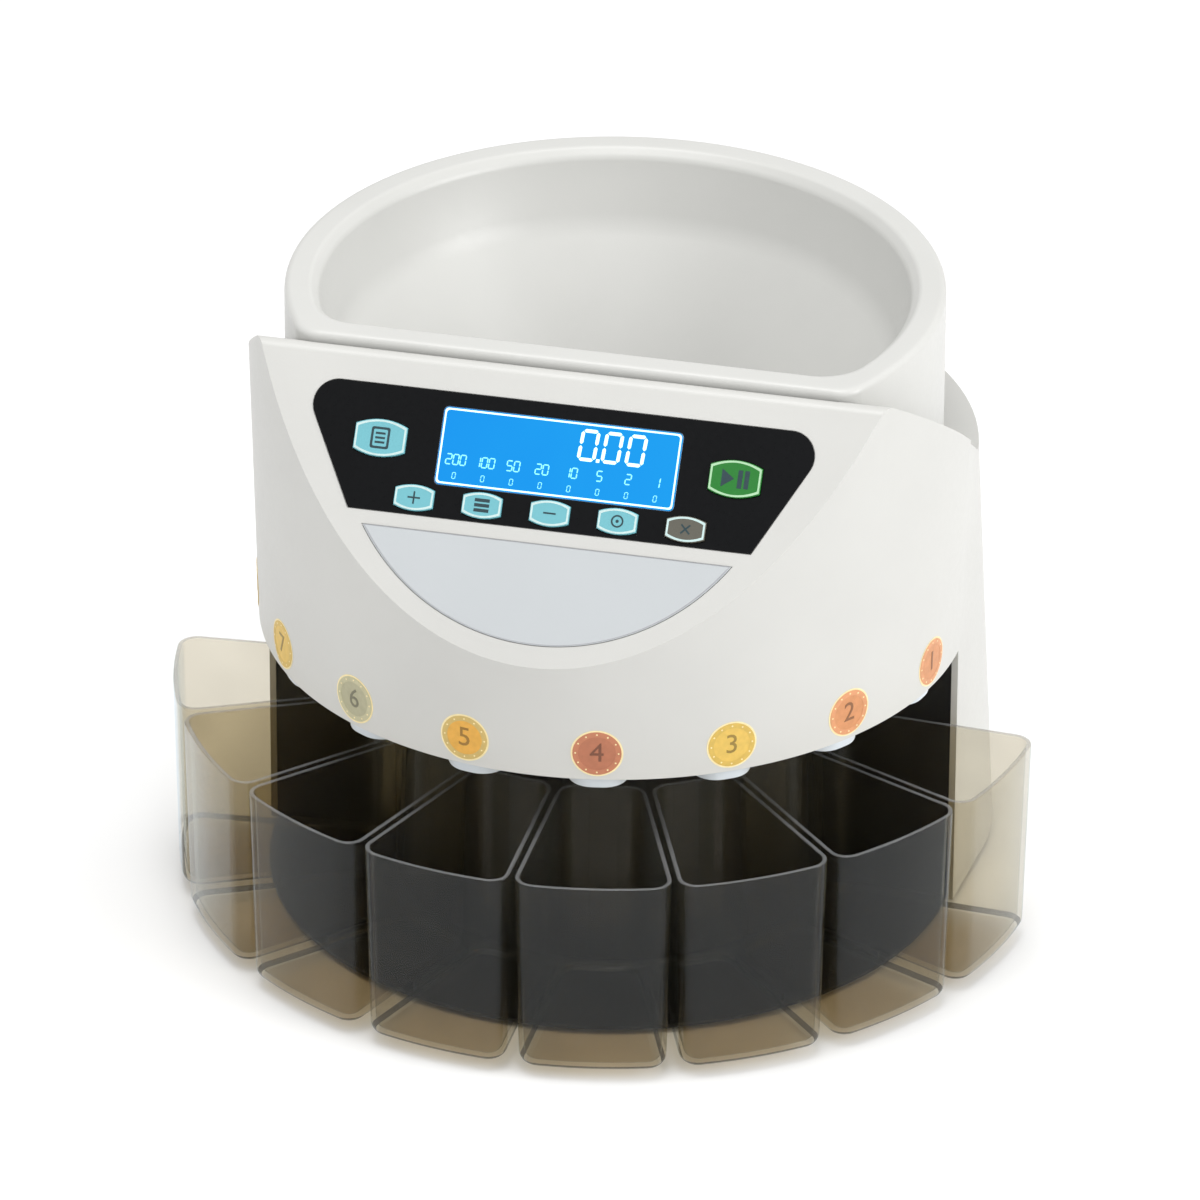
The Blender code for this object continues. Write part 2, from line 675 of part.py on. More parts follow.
def build_base():
    """The black tray with its cup guides, the drum wall behind the cups, and the feet."""
    side = housing_plan(HOUSING_Z, WALL + 0.5 * MM)
    rear = [(x, y) for x, y in side if y > MM]
    tray = flat("base_tray", [arc(TRAY_R, 180, 360, 33) + rear], *TRAY_Z)
    base = place("base_tray", tray, "black_plastic")
    width, height = RIB
    for i in range(CUPS + 1):
        angle = (i - CUPS / 2) * PITCH
        frame = empty(f"rib_frame_{i}", rotation=(0, 0, angle), parent=machine)
        size = (width, 36 * MM, height + 1 * MM)
        spot = (0, -120 * MM, TRAY_Z[1] + height / 2 - 0.5 * MM)
        combine(base, box(f"rib_{i}", size, location=spot, parent=frame), "UNION")

    outer, inner = DRUM_R, DRUM_R - 2.5 * MM
    reach = TRAY_R + 0.3 * MM
    wing = 2.4 * MM
    y = BAY_Y
    lean = math.degrees(math.asin(-y / outer))
    outline = [(-reach, y)] + arc(outer, 180 + lean, 360 - lean, 25) + [(reach, y)]
    lean = math.degrees(math.asin(-(y + wing) / inner))
    outline += [(reach, y + wing)] + arc(inner, 360 - lean, 180 + lean, 25) + [(-reach, y + wing)]
    wall = flat("bay_wall", [outline], TRAY_Z[1] + GAP, CHASSIS_Z[0] - GAP)
    place("bay_wall", wall, "black_plastic")

    for number, (x, y) in enumerate([(-95, -75), (95, -75), (-95, 100), (95, 100)], 1):
        foot = cylinder_mesh(f"rubber_foot_{number}", FOOT_R - 1 * MM, FOOT_H, 20, FOOT_R)
        place(f"rubber_foot_{number}", foot, "rubber", (x * MM, y * MM, FOOT_H / 2))

    holes = [circle(SHAFT_R + 1 * MM, 20)]
    width, length = CHUTE_SIZE
    slot = rounded_box(width + 0.8 * MM, length + 0.8 * MM, 6.4 * MM, (0, -CHUTE_R))
    holes += [turn_points(slot, angle) for angle in cup_places()]
    chassis = flat("chassis_plate", [circle(CHASSIS_R, 48), *holes], *CHASSIS_Z)
    place("chassis_plate", chassis, "black_plastic")


# --- sorting unit --------------------------------------------------------------------------


def sweep_outline():
    """The sweeper: a hub with straight arms, each swept back from the radius."""
    hub, tip = 13 * MM, 2.6 * MM
    outline = []
    for i in range(SWEEP_ARMS):
        arm = [(-4 * MM, -hub), (-tip, -SWEEP_R), (tip, -SWEEP_R), (4 * MM, -hub)]
        outline += turn_points(arm, i * 2 * math.pi / SWEEP_ARMS)
    return outline


def build_sorting_unit():
    """The turning disc and sweeper, and the fixed ring whose holes grow from cup to cup."""
    slots = []
    for angle, coin in zip(cup_places(), COIN_MM):
        slot = rounded_box(coin * MM, 16 * MM, 5 * MM, (0, -CHUTE_R))
        slots.append(turn_points(slot, angle))
    inner, outer = SORT_RING_R
    ring = flat("sort_ring", [circle(outer, 48), circle(inner, 40), *slots], *SORT_RING_Z)
    place("sort_ring", ring, "steel")
    rail = flat("rail_ring", [circle(RAIL_R[1], 48), circle(RAIL_R[0], 48)], *RAIL_Z)
    place("rail_ring", rail, "chute_grey")

    bore = SHAFT_R + GAP
    low, high = DISC_Z
    disc = [(bore, high), (DISC_R - 1 * MM, high), (DISC_R, high - 1 * MM), (DISC_R, low), (bore, low)]
    turned("sort_disc", disc, "aluminium", 40)
    sweeper = flat("sweep_spider", [sweep_outline(), circle(bore, 20)], *SWEEP_Z)
    place("sweep_spider", sweeper, "rubber")
    z = SHAFT_Z[1] + GAP
    cap = [(0, z + 13 * MM), (4 * MM, z + 12.4 * MM), (9 * MM, z + 7 * MM), (12 * MM, z), (0, z)]
    turned("disc_cap", cap, "black_plastic", 24)

    low, high = SHAFT_Z
    shaft = cylinder_mesh("spindle", SHAFT_R, high - low, 20)
    place("spindle", shaft, "steel", (0, 0, (low + high) / 2))
    top = CHASSIS_Z[0] - GAP
    flange = top - 4 * MM
    block = [(bore, top), (25 * MM, top), (25 * MM, flange), (15 * MM, flange)]
    block += [(15 * MM, 106 * MM), (bore, 106 * MM)]
    turned("bearing_block", block, "aluminium", 24)

    board = arc(112 * MM, 190, 350, 33) + arc(99 * MM, 350, 190, 33)
    mesh = flat("sensor_board", [board], 144 * MM, 145.6 * MM)
    place("sensor_board", mesh, "board_green")


def gear_outline(teeth):
    """A spur gear's outline, its first tooth centred on +Y."""
    pitch_r = MODULE * teeth / 2
    step = 360 / teeth
    levels = [(pitch_r - 1.2 * MODULE, 0.36), (pitch_r + 0.85 * MODULE, 0.12)]
    outline = []
    for i in range(teeth):
        middle = 90 + i * step
        outline += [polar(r, middle - half * step) for r, half in levels]
        outline += [polar(r, middle + half * step) for r, half in reversed(levels)]
    return outline


def build_drive():
    """The motor stands on the tray and turns the spindle's gear through its pinion."""
    low, high = GEAR_Z
    gear = flat("drive_gear", [gear_outline(GEAR_TEETH), circle(SHAFT_R + GAP, 20)], low, high)
    place("drive_gear", gear, "nylon")

    half_tooth = math.pi / PINION_TEETH
    outline = turn_points(gear_outline(PINION_TEETH), half_tooth)
    bm = bmesh.new()
    bm.from_mesh(flat("motor_pinion", [outline], low - 0.5 * MM, high + 0.5 * MM))
    mesh = bpy.data.meshes.new("motor_pinion")
    bm.to_mesh(mesh)
    bm.free()
    pinion = place("motor_pinion", mesh, "steel", (0, MOTOR_Y, 0))
    shaft = cylinder_mesh("pinion_shaft", 3 * MM, 20 * MM, 16)
    combine(pinion, cutter("pinion_shaft", shaft, (0, MOTOR_Y, 83 * MM)), "UNION")

    foot = TRAY_Z[1] + GAP
    body = [(0, 72 * MM), (3.4 * MM, 72 * MM), (3.4 * MM, 86 * MM), (9 * MM, 86 * MM)]
    body += [(9 * MM, 82 * MM), (24 * MM, 82 * MM), (26 * MM, 80 * MM), (26 * MM, 9 * MM)]
    body += [(32 * MM, 9 * MM), (32 * MM, foot), (0, foot)]
    turned("drive_motor", body, "steel", 24, location=(0, MOTOR_Y, 0))


# --- rear connections ----------------------------------------------------------------------


def screw_places():
    """Where the rear panel's four screws sit, as (across, height)."""
    half_w, half_h = PANEL[0] / 2 - 7 * MM, PANEL[1] / 2 - 6 * MM
    return [(sx * half_w, PANEL_Z + sz * half_h) for sx in (-1, 1) for sz in (-1, 1)]


INLET = (-22 * MM, 28 * MM, 20.5 * MM)
SWITCH = (8 * MM, 14 * MM, 20.5 * MM)
PORT = (31 * MM, 16 * MM, 12 * MM)


def upright(outline):
    """Panel outlines are drawn as (across, up) and seen from behind, so across is turned over."""
    return [(-x, y) for x, y in reversed(outline)]


def build_rear():
    """The rear panel with its mains inlet, rocker switch and data port."""
    frame = empty("panel_frame", (0, PANEL_Y, PANEL_Z), (math.pi / 2, 0, math.pi), machine)
    holes = []
    for x, w, h in (INLET, SWITCH, PORT):
        holes.append(rounded_box(w + 2 * GAP, h + 2 * GAP, 1.5 * MM, (-x, 0)))
    holes += [circle(1.7 * MM, 12, (-x, z - PANEL_Z)) for x, z in screw_places()]
    plate = flat("rear_panel", [rounded_box(PANEL[0], PANEL[1], 2 * MM), *holes], -PANEL[2], 0)
    place("rear_panel", plate, "black_plastic", parent=frame)
    for number, (x, z) in enumerate(screw_places(), 1):
        build_screw(f"rear_screw_{number}", (-x, z - PANEL_Z, 0), frame)

    x, w, h = INLET
    outer = rounded_box(w, h, 2 * MM)
    inlet = flat("power_inlet", [outer], -16 * MM, 0.8 * MM)
    place("power_inlet", inlet, "black_plastic", location=(-x, 0, 0), parent=frame)
    mouth = flat("inlet_mouth", [rounded_box(w - 4 * MM, h - 4 * MM, 1.5 * MM)], -13 * MM, 3 * MM)
    combine(bpy.data.objects["power_inlet"], cutter("inlet_mouth", mouth, (-x, 0, 0), parent=frame))
    for dx, dy in ((-7, 1.5), (0, -2.5), (7, 1.5)):
        size = (2 * MM, 4 * MM, 11.5 * MM)
        spot = (-x + dx * MM, dy * MM, -8 * MM)
        blade = box(f"inlet_blade_{dx}", size, location=spot, parent=frame)
        combine(bpy.data.objects["power_inlet"], blade, "UNION")

    x, w, h = SWITCH
    rim = rounded_box(w, h, 1.5 * MM)
    hollow = rounded_box(w - 3 * MM, h - 3 * MM, 1 * MM)
    mesh = flat("switch_frame", [rim, hollow], -11 * MM, 1 * MM)
    place("switch_frame", mesh, "black_plastic", location=(-x, 0, 0), parent=frame)
    build_rocker((-x, 0, -2 * MM), w - 4 * MM, h - 3.8 * MM, frame)

    x, w, h = PORT
    port = flat("data_port", [rounded_box(w, h, 1 * MM)], -12 * MM, 0.8 * MM)
    place("data_port", port, "black_plastic", location=(-x, 0, 0), parent=frame)
    socket = flat("port_mouth", [rounded_box(w - 4 * MM, h - 4.5 * MM, 0.8 * MM)], -9 * MM, 3 * MM)
    combine(bpy.data.objects["data_port"], cutter("port_mouth", socket, (-x, 0, 0), parent=frame))

    size = (70 * MM, 46 * MM, 44 * MM)
    box("power_supply", size, "steel", 1.5 * MM, location=(80 * MM, 62 * MM, TRAY_Z[1] + 26 * MM))
    board = rounded_box(86 * MM, 70 * MM, 3 * MM)
    holes = [circle(1.7 * MM, 8, (x * MM, y * MM)) for x in (-38, 38) for y in (-30, 30)]
    mesh = flat("main_board", [board, *holes], 12 * MM, 13.6 * MM)
    place("main_board", mesh, "board_green", (-80 * MM, 55 * MM, 0))


def build_screw(name, spot, frame):
    """A round-headed screw."""
    profile = [(0, 1.6 * MM), (1.6 * MM, 1.4 * MM), (3 * MM, 0.4 * MM), (3 * MM, GAP)]
    profile += [(1.3 * MM, GAP), (1.3 * MM, -5.5 * MM), (0, -5.5 * MM)]
    turned(name, profile, "steel", 12, location=spot, parent=frame)


def build_rocker(spot, width, height, frame):
    """The rocker: a shallow vee that turns on its middle, tipped to off at rest."""
    half, rise, deep = height / 2, 2.4 * MM, 3 * MM
    side = [(-half, rise), (0, 1.2 * MM), (half, rise), (half * 0.72, -deep), (-half * 0.72, -deep)]
    rings = [[(x, y, z) for y, z in side] for x in (-width / 2, width / 2)]
    tip = (math.radians(8), 0, 0)
    rocker = place("switch_rocker", loft("switch_rocker", rings), "rubber", spot, tip, frame)
    round_edges(rocker, 0.4 * MM)


build_housing()
build_fascia()
build_hopper()
build_cups()
build_base()
build_sorting_unit()
build_drive()
build_rear()
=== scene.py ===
"""Looks for the coin sorting machine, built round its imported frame.

Metres, +Z up, front towards -Y. Plan sizes are measured from the sorting axis, the vertical line
through the middle of the disc and of the ring of cups.
"""

import json
import logging
import math
from dataclasses import dataclass
from enum import Enum
from typing import Optional, Sequence

import bmesh
import bpy
from mathutils import Matrix, Vector
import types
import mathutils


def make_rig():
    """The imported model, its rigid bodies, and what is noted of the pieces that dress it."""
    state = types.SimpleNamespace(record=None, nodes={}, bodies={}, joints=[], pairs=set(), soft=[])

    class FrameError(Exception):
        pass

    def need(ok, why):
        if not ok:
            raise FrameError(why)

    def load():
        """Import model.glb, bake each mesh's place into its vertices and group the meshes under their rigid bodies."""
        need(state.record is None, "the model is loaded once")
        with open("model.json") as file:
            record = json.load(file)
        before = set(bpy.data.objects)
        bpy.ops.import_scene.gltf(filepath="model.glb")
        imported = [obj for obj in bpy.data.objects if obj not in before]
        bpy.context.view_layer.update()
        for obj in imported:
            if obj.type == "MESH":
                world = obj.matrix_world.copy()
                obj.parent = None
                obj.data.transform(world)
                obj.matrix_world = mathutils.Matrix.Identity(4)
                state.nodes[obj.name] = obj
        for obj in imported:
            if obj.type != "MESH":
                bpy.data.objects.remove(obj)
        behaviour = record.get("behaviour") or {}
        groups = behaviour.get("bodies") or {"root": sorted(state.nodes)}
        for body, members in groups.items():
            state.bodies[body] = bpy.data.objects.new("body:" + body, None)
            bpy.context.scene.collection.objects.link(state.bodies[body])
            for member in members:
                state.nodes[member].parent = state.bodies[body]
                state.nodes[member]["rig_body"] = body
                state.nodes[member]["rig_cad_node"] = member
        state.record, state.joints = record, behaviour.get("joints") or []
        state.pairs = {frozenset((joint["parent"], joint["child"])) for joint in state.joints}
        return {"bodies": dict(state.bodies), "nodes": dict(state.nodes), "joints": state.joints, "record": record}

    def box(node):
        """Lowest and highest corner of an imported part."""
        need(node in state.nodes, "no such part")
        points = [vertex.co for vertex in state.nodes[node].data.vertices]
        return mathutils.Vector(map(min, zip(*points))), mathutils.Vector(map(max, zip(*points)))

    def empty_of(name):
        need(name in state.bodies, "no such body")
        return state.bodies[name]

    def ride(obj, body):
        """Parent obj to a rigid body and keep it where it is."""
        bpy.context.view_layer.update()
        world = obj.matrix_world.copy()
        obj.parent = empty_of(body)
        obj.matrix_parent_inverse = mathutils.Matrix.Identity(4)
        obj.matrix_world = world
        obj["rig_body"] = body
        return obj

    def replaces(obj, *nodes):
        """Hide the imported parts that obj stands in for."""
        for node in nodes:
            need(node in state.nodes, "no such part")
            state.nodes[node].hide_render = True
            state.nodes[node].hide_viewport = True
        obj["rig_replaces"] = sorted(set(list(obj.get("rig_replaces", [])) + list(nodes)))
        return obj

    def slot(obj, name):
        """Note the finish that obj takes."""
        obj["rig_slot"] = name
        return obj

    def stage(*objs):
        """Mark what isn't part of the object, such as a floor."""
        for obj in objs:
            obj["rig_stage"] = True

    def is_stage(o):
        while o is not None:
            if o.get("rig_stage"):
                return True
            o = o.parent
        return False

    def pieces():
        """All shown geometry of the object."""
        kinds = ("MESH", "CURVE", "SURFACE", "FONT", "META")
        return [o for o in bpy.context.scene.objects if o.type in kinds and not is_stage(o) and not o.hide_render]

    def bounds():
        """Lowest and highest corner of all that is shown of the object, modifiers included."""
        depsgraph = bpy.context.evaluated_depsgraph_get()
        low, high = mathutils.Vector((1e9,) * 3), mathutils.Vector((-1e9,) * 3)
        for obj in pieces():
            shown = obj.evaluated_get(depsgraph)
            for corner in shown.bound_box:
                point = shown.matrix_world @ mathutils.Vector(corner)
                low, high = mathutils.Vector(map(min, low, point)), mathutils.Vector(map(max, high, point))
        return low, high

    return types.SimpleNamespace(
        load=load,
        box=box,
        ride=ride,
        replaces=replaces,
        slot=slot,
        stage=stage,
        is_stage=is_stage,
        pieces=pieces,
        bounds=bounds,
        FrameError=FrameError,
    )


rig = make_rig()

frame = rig.load()
CAD_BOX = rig.bounds()

MM = 0.001
GAP = 0.3 * MM
CUPS = 8
PITCH = math.radians(21.5)

Point = tuple[float, float]
Outline = list[Point]
Colour = tuple[float, float, float]

log = logging.getLogger("coin_sorter")


def axis_place() -> Vector:
    """The foot of the sorting axis, from the disc's box."""
    low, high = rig.box("sort_disc")
    return Vector(((low.x + high.x) / 2, (low.y + high.y) / 2, 0))


AXIS = Matrix.Translation(axis_place())


class Body(Enum):
    """The moving bodies that pieces ride on."""

    MACHINE = "machine"
    HOPPER = "hopper_body"
    ROTOR = "rotor"


class Slot(Enum):
    """The record's material slots."""

    WHITE = "warm_white_abs"
    BLACK = "black_abs"
    OVERLAY = "gloss_overlay"
    SMOKE = "smoke_clear"
    LCD = "lcd_blue"
    BADGE = "badge_grey"
    TEAL = "teal_key"
    GREEN = "green_key"
    GREY = "grey_key"
    STEEL = "steel"
    ALUMINIUM = "aluminium"
    RUBBER = "rubber"
    CHUTE = "chute_grey"
    NYLON = "nylon"


# --- outlines ------------------------------------------------------------------------------


def blend(low: float, high: float, t: float) -> float:
    """A value part of the way from one to another."""
    return low + (high - low) * t


def polar(radius: float, angle: float, centre: Point = (0, 0)) -> Point:
    """The point at a radius and an angle in degrees from +X."""
    turn = math.radians(angle)
    return (centre[0] + radius * math.cos(turn), centre[1] + radius * math.sin(turn))


def arc(radius: float, start: float, end: float, count: int, centre: Point = (0, 0)) -> Outline:
    """Points along an arc.

    Args:
        radius: The arc's radius.
        start: First angle in degrees from +X.
        end: Last angle in degrees.
        count: How many points, the ends included.
        centre: The arc's centre.

    Returns:
        The points in order.
    """
    return [polar(radius, blend(start, end, i / (count - 1)), centre) for i in range(count)]


def circle(radius: float, count: int, centre: Point = (0, 0)) -> Outline:
    """Points round a full circle."""
    return arc(radius, 0, 360 * (count - 1) / count, count, centre)


def rounded_box(
    width: float, height: float, radius: float, centre: Point = (0, 0), count: int = 7
) -> Outline:
    """The outline of a rectangle with round corners.

    Args:
        width: Its width.
        height: Its height.
        radius: Its radius.
        centre: Its middle.
        count: How many points each corner has.

    Returns:
        The outline.
    """
    outline = []
    for sx, sy, start in ((1, 1, 0), (-1, 1, 90), (-1, -1, 180), (1, -1, 270)):
        corner = (centre[0] + sx * (width / 2 - radius), centre[1] + sy * (height / 2 - radius))
        outline += arc(radius, start, start + 90, count, corner)
    return outline


def turned_plan(points: Sequence[Point], angle: float) -> Outline:
    """Points of the plan turned about the sorting axis, by an angle in radians."""
    c, s = math.cos(angle), math.sin(angle)
    return [(x * c - y * s, x * s + y * c) for x, y in points]


def eased(points: Sequence[Point], radii: Sequence[float], steps: int = 5) -> Outline:
    """Rounds the corners of an open line.

    Args:
        points: The line's corners.
        radii: How far back from each corner its rounding starts, 0 for a sharp one.
        steps: How many spans each rounding has.

    Returns:
        The rounded line.
    """
    line = []
    for i, (x, y) in enumerate(points):
        if not radii[i]:
            line.append((x, y))
            continue
        here, before, after = Vector((x, y)), Vector(points[i - 1]), Vector(points[i + 1])
        start = here + (before - here).normalized() * radii[i]
        end = here + (after - here).normalized() * radii[i]
        for k in range(steps + 1):
            t = k / steps
            p = start * (1 - t) ** 2 + here * 2 * t * (1 - t) + end * t**2
            line.append((p.x, p.y))
    return line


def cup_angles() -> list[float]:
    """Each cup's direction from straight ahead, in radians, left to right."""
    return [(i - (CUPS - 1) / 2) * PITCH for i in range(CUPS)]


# --- meshes --------------------------------------------------------------------------------


def mesh_of(bm: bmesh.types.BMesh, name: str) -> bpy.types.Mesh:
    """A mesh from a bmesh, with its faces pointing out.

    Args:
        bm: The mesh under construction; it is freed.
        name: Its name.

    Returns:
        The mesh.
    """
    bmesh.ops.recalc_face_normals(bm, faces=bm.faces)
    mesh = bpy.data.meshes.new(name)
    bm.to_mesh(mesh)
    bm.free()
    return mesh


def loft(name: str, rings: Sequence[Sequence[Sequence[float]]], ends: bool = True) -> bpy.types.Mesh:
    """A body through rings of points.

    Args:
        name: The mesh's name.
        rings: The rings, each with the same number of points.
        ends: Whether both ends are capped; if not, the last ring joins the first.

    Returns:
        The closed mesh.
    """
    bm = bmesh.new()
    loops = [[bm.verts.new(p) for p in ring] for ring in rings]
    pairs = list(zip(loops, loops[1:]))
    if not ends:
        pairs.append((loops[-1], loops[0]))
    for low, high in pairs:
        for i in range(len(low)):
            j = (i + 1) % len(low)
            bm.faces.new((low[i], low[j], high[j], high[i]))
    if ends:
        bm.faces.new(loops[0])
        bm.faces.new(loops[-1])
    return mesh_of(bm, name)


def raised(points: Sequence[Point], z: float) -> list[tuple[float, float, float]]:
    """Plan points at one height."""
    return [(x, y, z) for x, y in points]


def plate(name: str, outlines: Sequence[Outline], low: float, high: float) -> bpy.types.Mesh:
    """A flat plate.

    Args:
        name: The mesh's name.
        outlines: Its outline, and the outlines of its holes or of further islands.
        low: Height of its underside.
        high: Height of its top.

    Returns:
        The closed mesh, its flat faces merged.
    """
    curve = bpy.data.curves.new(name, "CURVE")
    curve.dimensions = "2D"
    curve.fill_mode = "BOTH"
    curve.extrude = (high - low) / 2
    for outline in outlines:
        spline = curve.splines.new("POLY")
        spline.points.add(len(outline) - 1)
        for point, (x, y) in zip(spline.points, outline):
            point.co = (x, y, 0, 1)
        spline.use_cyclic_u = True
    source = bpy.data.objects.new(name, curve)
    bpy.context.scene.collection.objects.link(source)
    mesh = bpy.data.meshes.new_from_object(source)
    bpy.data.objects.remove(source)
    bpy.data.curves.remove(curve)
    bm = bmesh.new()
    bm.from_mesh(mesh)
    bmesh.ops.remove_doubles(bm, verts=bm.verts, dist=0.005 * MM)
    bmesh.ops.translate(bm, verts=bm.verts, vec=(0, 0, (low + high) / 2))
    bmesh.ops.dissolve_limit(bm, angle_limit=0.01, verts=bm.verts, edges=bm.edges)
    bm.to_mesh(mesh)
    bm.free()
    return mesh


def turned(name: str, profile: Sequence[Point], steps: int = 64) -> bpy.types.Mesh:
    """A turned body about its own Z axis.

    Args:
        name: The mesh's name.
        profile: (radius, height) pairs; a line that leaves the axis and comes back to it, or
            one that closes on itself clear of the axis.
        steps: Spans round the turn.

    Returns:
        The closed mesh.
    """
    bm = bmesh.new()
    closed = min(r for r, _ in profile) > 0
    rings = []
    for r, z in profile:
        if r <= 0:
            rings.append([bm.verts.new((0, 0, z))])
        else:
            rings.append([bm.verts.new(p) for p in raised(circle(r, steps), z)])
    pairs = list(zip(rings, rings[1:]))
    if closed:
        pairs.append((rings[-1], rings[0]))
    for a, b in pairs:
        for i in range(steps):
            j = (i + 1) % steps
            corners = [a[i % len(a)], a[j % len(a)], b[j % len(b)], b[i % len(b)]]
            unique = list(dict.fromkeys(corners))
            if len(unique) > 2:
                bm.faces.new(unique)
    return mesh_of(bm, name)


def block(name: str, size: Sequence[float], centre: Sequence[float] = (0, 0, 0)) -> bpy.types.Mesh:
    """A box about a centre.

    Args:
        name: Its name.
        size: Its three sizes.
        centre: Its middle.

    Returns:
        The mesh.
    """
    bm = bmesh.new()
    matrix = Matrix.Translation(centre) @ Matrix.Diagonal((*size, 1))
    bmesh.ops.create_cube(bm, size=1, matrix=matrix)
    return mesh_of(bm, name)


def solid(mesh: bpy.types.Mesh, matrix: Optional[Matrix] = None) -> bpy.types.Object:
    """An object for a mesh, placed in the sorting axis's frame.

    Args:
        mesh: The mesh to use.
        matrix: Its place.

    Returns:
        The piece.
    """
    piece = bpy.data.objects.new(mesh.name, mesh)
    bpy.context.scene.collection.objects.link(piece)
    piece.matrix_world = AXIS @ (matrix or Matrix())
    return piece


def settle(piece: bpy.types.Object) -> None:
    """Makes a piece's modifiers part of its mesh.

    Args:
        piece: The piece to work on.
    """
    bpy.context.view_layer.update()
    graph = bpy.context.evaluated_depsgraph_get()
    made = bpy.data.meshes.new_from_object(piece.evaluated_get(graph), depsgraph=graph)
    piece.modifiers.clear()
    old = piece.data
    made.name = old.name
    piece.data = made
    bpy.data.meshes.remove(old)


def carve(
    piece: bpy.types.Object,
    tool: bpy.types.Mesh,
    matrix: Optional[Matrix] = None,
    operation: str = "DIFFERENCE",
) -> None:
    """Cuts a tool out of a piece, or joins it on.

    Args:
        piece: The piece to change.
        tool: The tool's mesh, used up by the cut.
        matrix: The tool's place in the sorting axis's frame.
        operation: The boolean operation.
    """
    cutter = solid(tool, matrix)
    step = piece.modifiers.new("carve", "BOOLEAN")
    step.operation = operation
    step.solver = "EXACT"
    step.object = cutter
    settle(piece)
    bpy.data.objects.remove(cutter)
    bpy.data.meshes.remove(tool)


def soften(piece: bpy.types.Object, width: float, segments: int = 2, angle: float = 35) -> None:
    """Rounds a piece's edges that turn by more than an angle in degrees.

    Args:
        piece: The piece to work on.
        width: How wide the rounding is.
        segments: Steps across each rounded edge.
        angle: The least turn, in degrees, that counts as an edge.
    """
    bevel = piece.modifiers.new("edges", "BEVEL")
    bevel.width = width
    bevel.segments = segments
    bevel.limit_method = "ANGLE"
    bevel.angle_limit = math.radians(angle)
    bevel.harden_normals = False


def shade(piece: bpy.types.Object, angle: float = 40) -> None:
    """Smooth shading that keeps flat faces flat and sharp edges sharp.

    Args:
        piece: The piece to work on.
        angle: The least turn, in degrees, that counts as an edge.
    """
    piece.data.shade_smooth()
    piece.data.set_sharp_from_angle(angle=math.radians(angle))
    normals = piece.modifiers.new("normals", "WEIGHTED_NORMAL")
    normals.keep_sharp = True
    normals.weight = 80


def dress(
    piece: bpy.types.Object,
    finish: bpy.types.Material,
    slot: Slot,
    body: str = Body.MACHINE.value,
    replaces: Sequence[str] = (),
    angle: float = 40,
) -> bpy.types.Object:
    """Gives a finished piece its material, its slot and the body it rides on.

    Args:
        piece: The piece, in place.
        finish: Its material.
        slot: The record's slot for it.
        body: The body that it moves with.
        replaces: CAD nodes that it stands for.
        angle: Edges that turn by more than this, in degrees, stay sharp in the shading.

    Returns:
        The piece.
    """
    if not piece.data.materials:
        piece.data.materials.append(finish)
    shade(piece, angle)
    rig.ride(piece, body)
    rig.slot(piece, slot.value)
    if replaces:
        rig.replaces(piece, *replaces)
    return piece


def refinish(finish: bpy.types.Material, *nodes: str, edge: float = 0.0) -> None:
    """Gives CAD nodes a material, and fine round edges if edge is set.

    Args:
        finish: The material.
        edge: Radius of the round edges, or 0 for none.
        nodes: The CAD nodes.
    """
    for node in nodes:
        piece = frame["nodes"][node]
        for place in piece.material_slots:
            place.material = finish
        if not piece.material_slots:
            piece.data.materials.append(finish)
        if edge:
            soften(piece, edge, angle=50)


# --- finishes ------------------------------------------------------------------------------


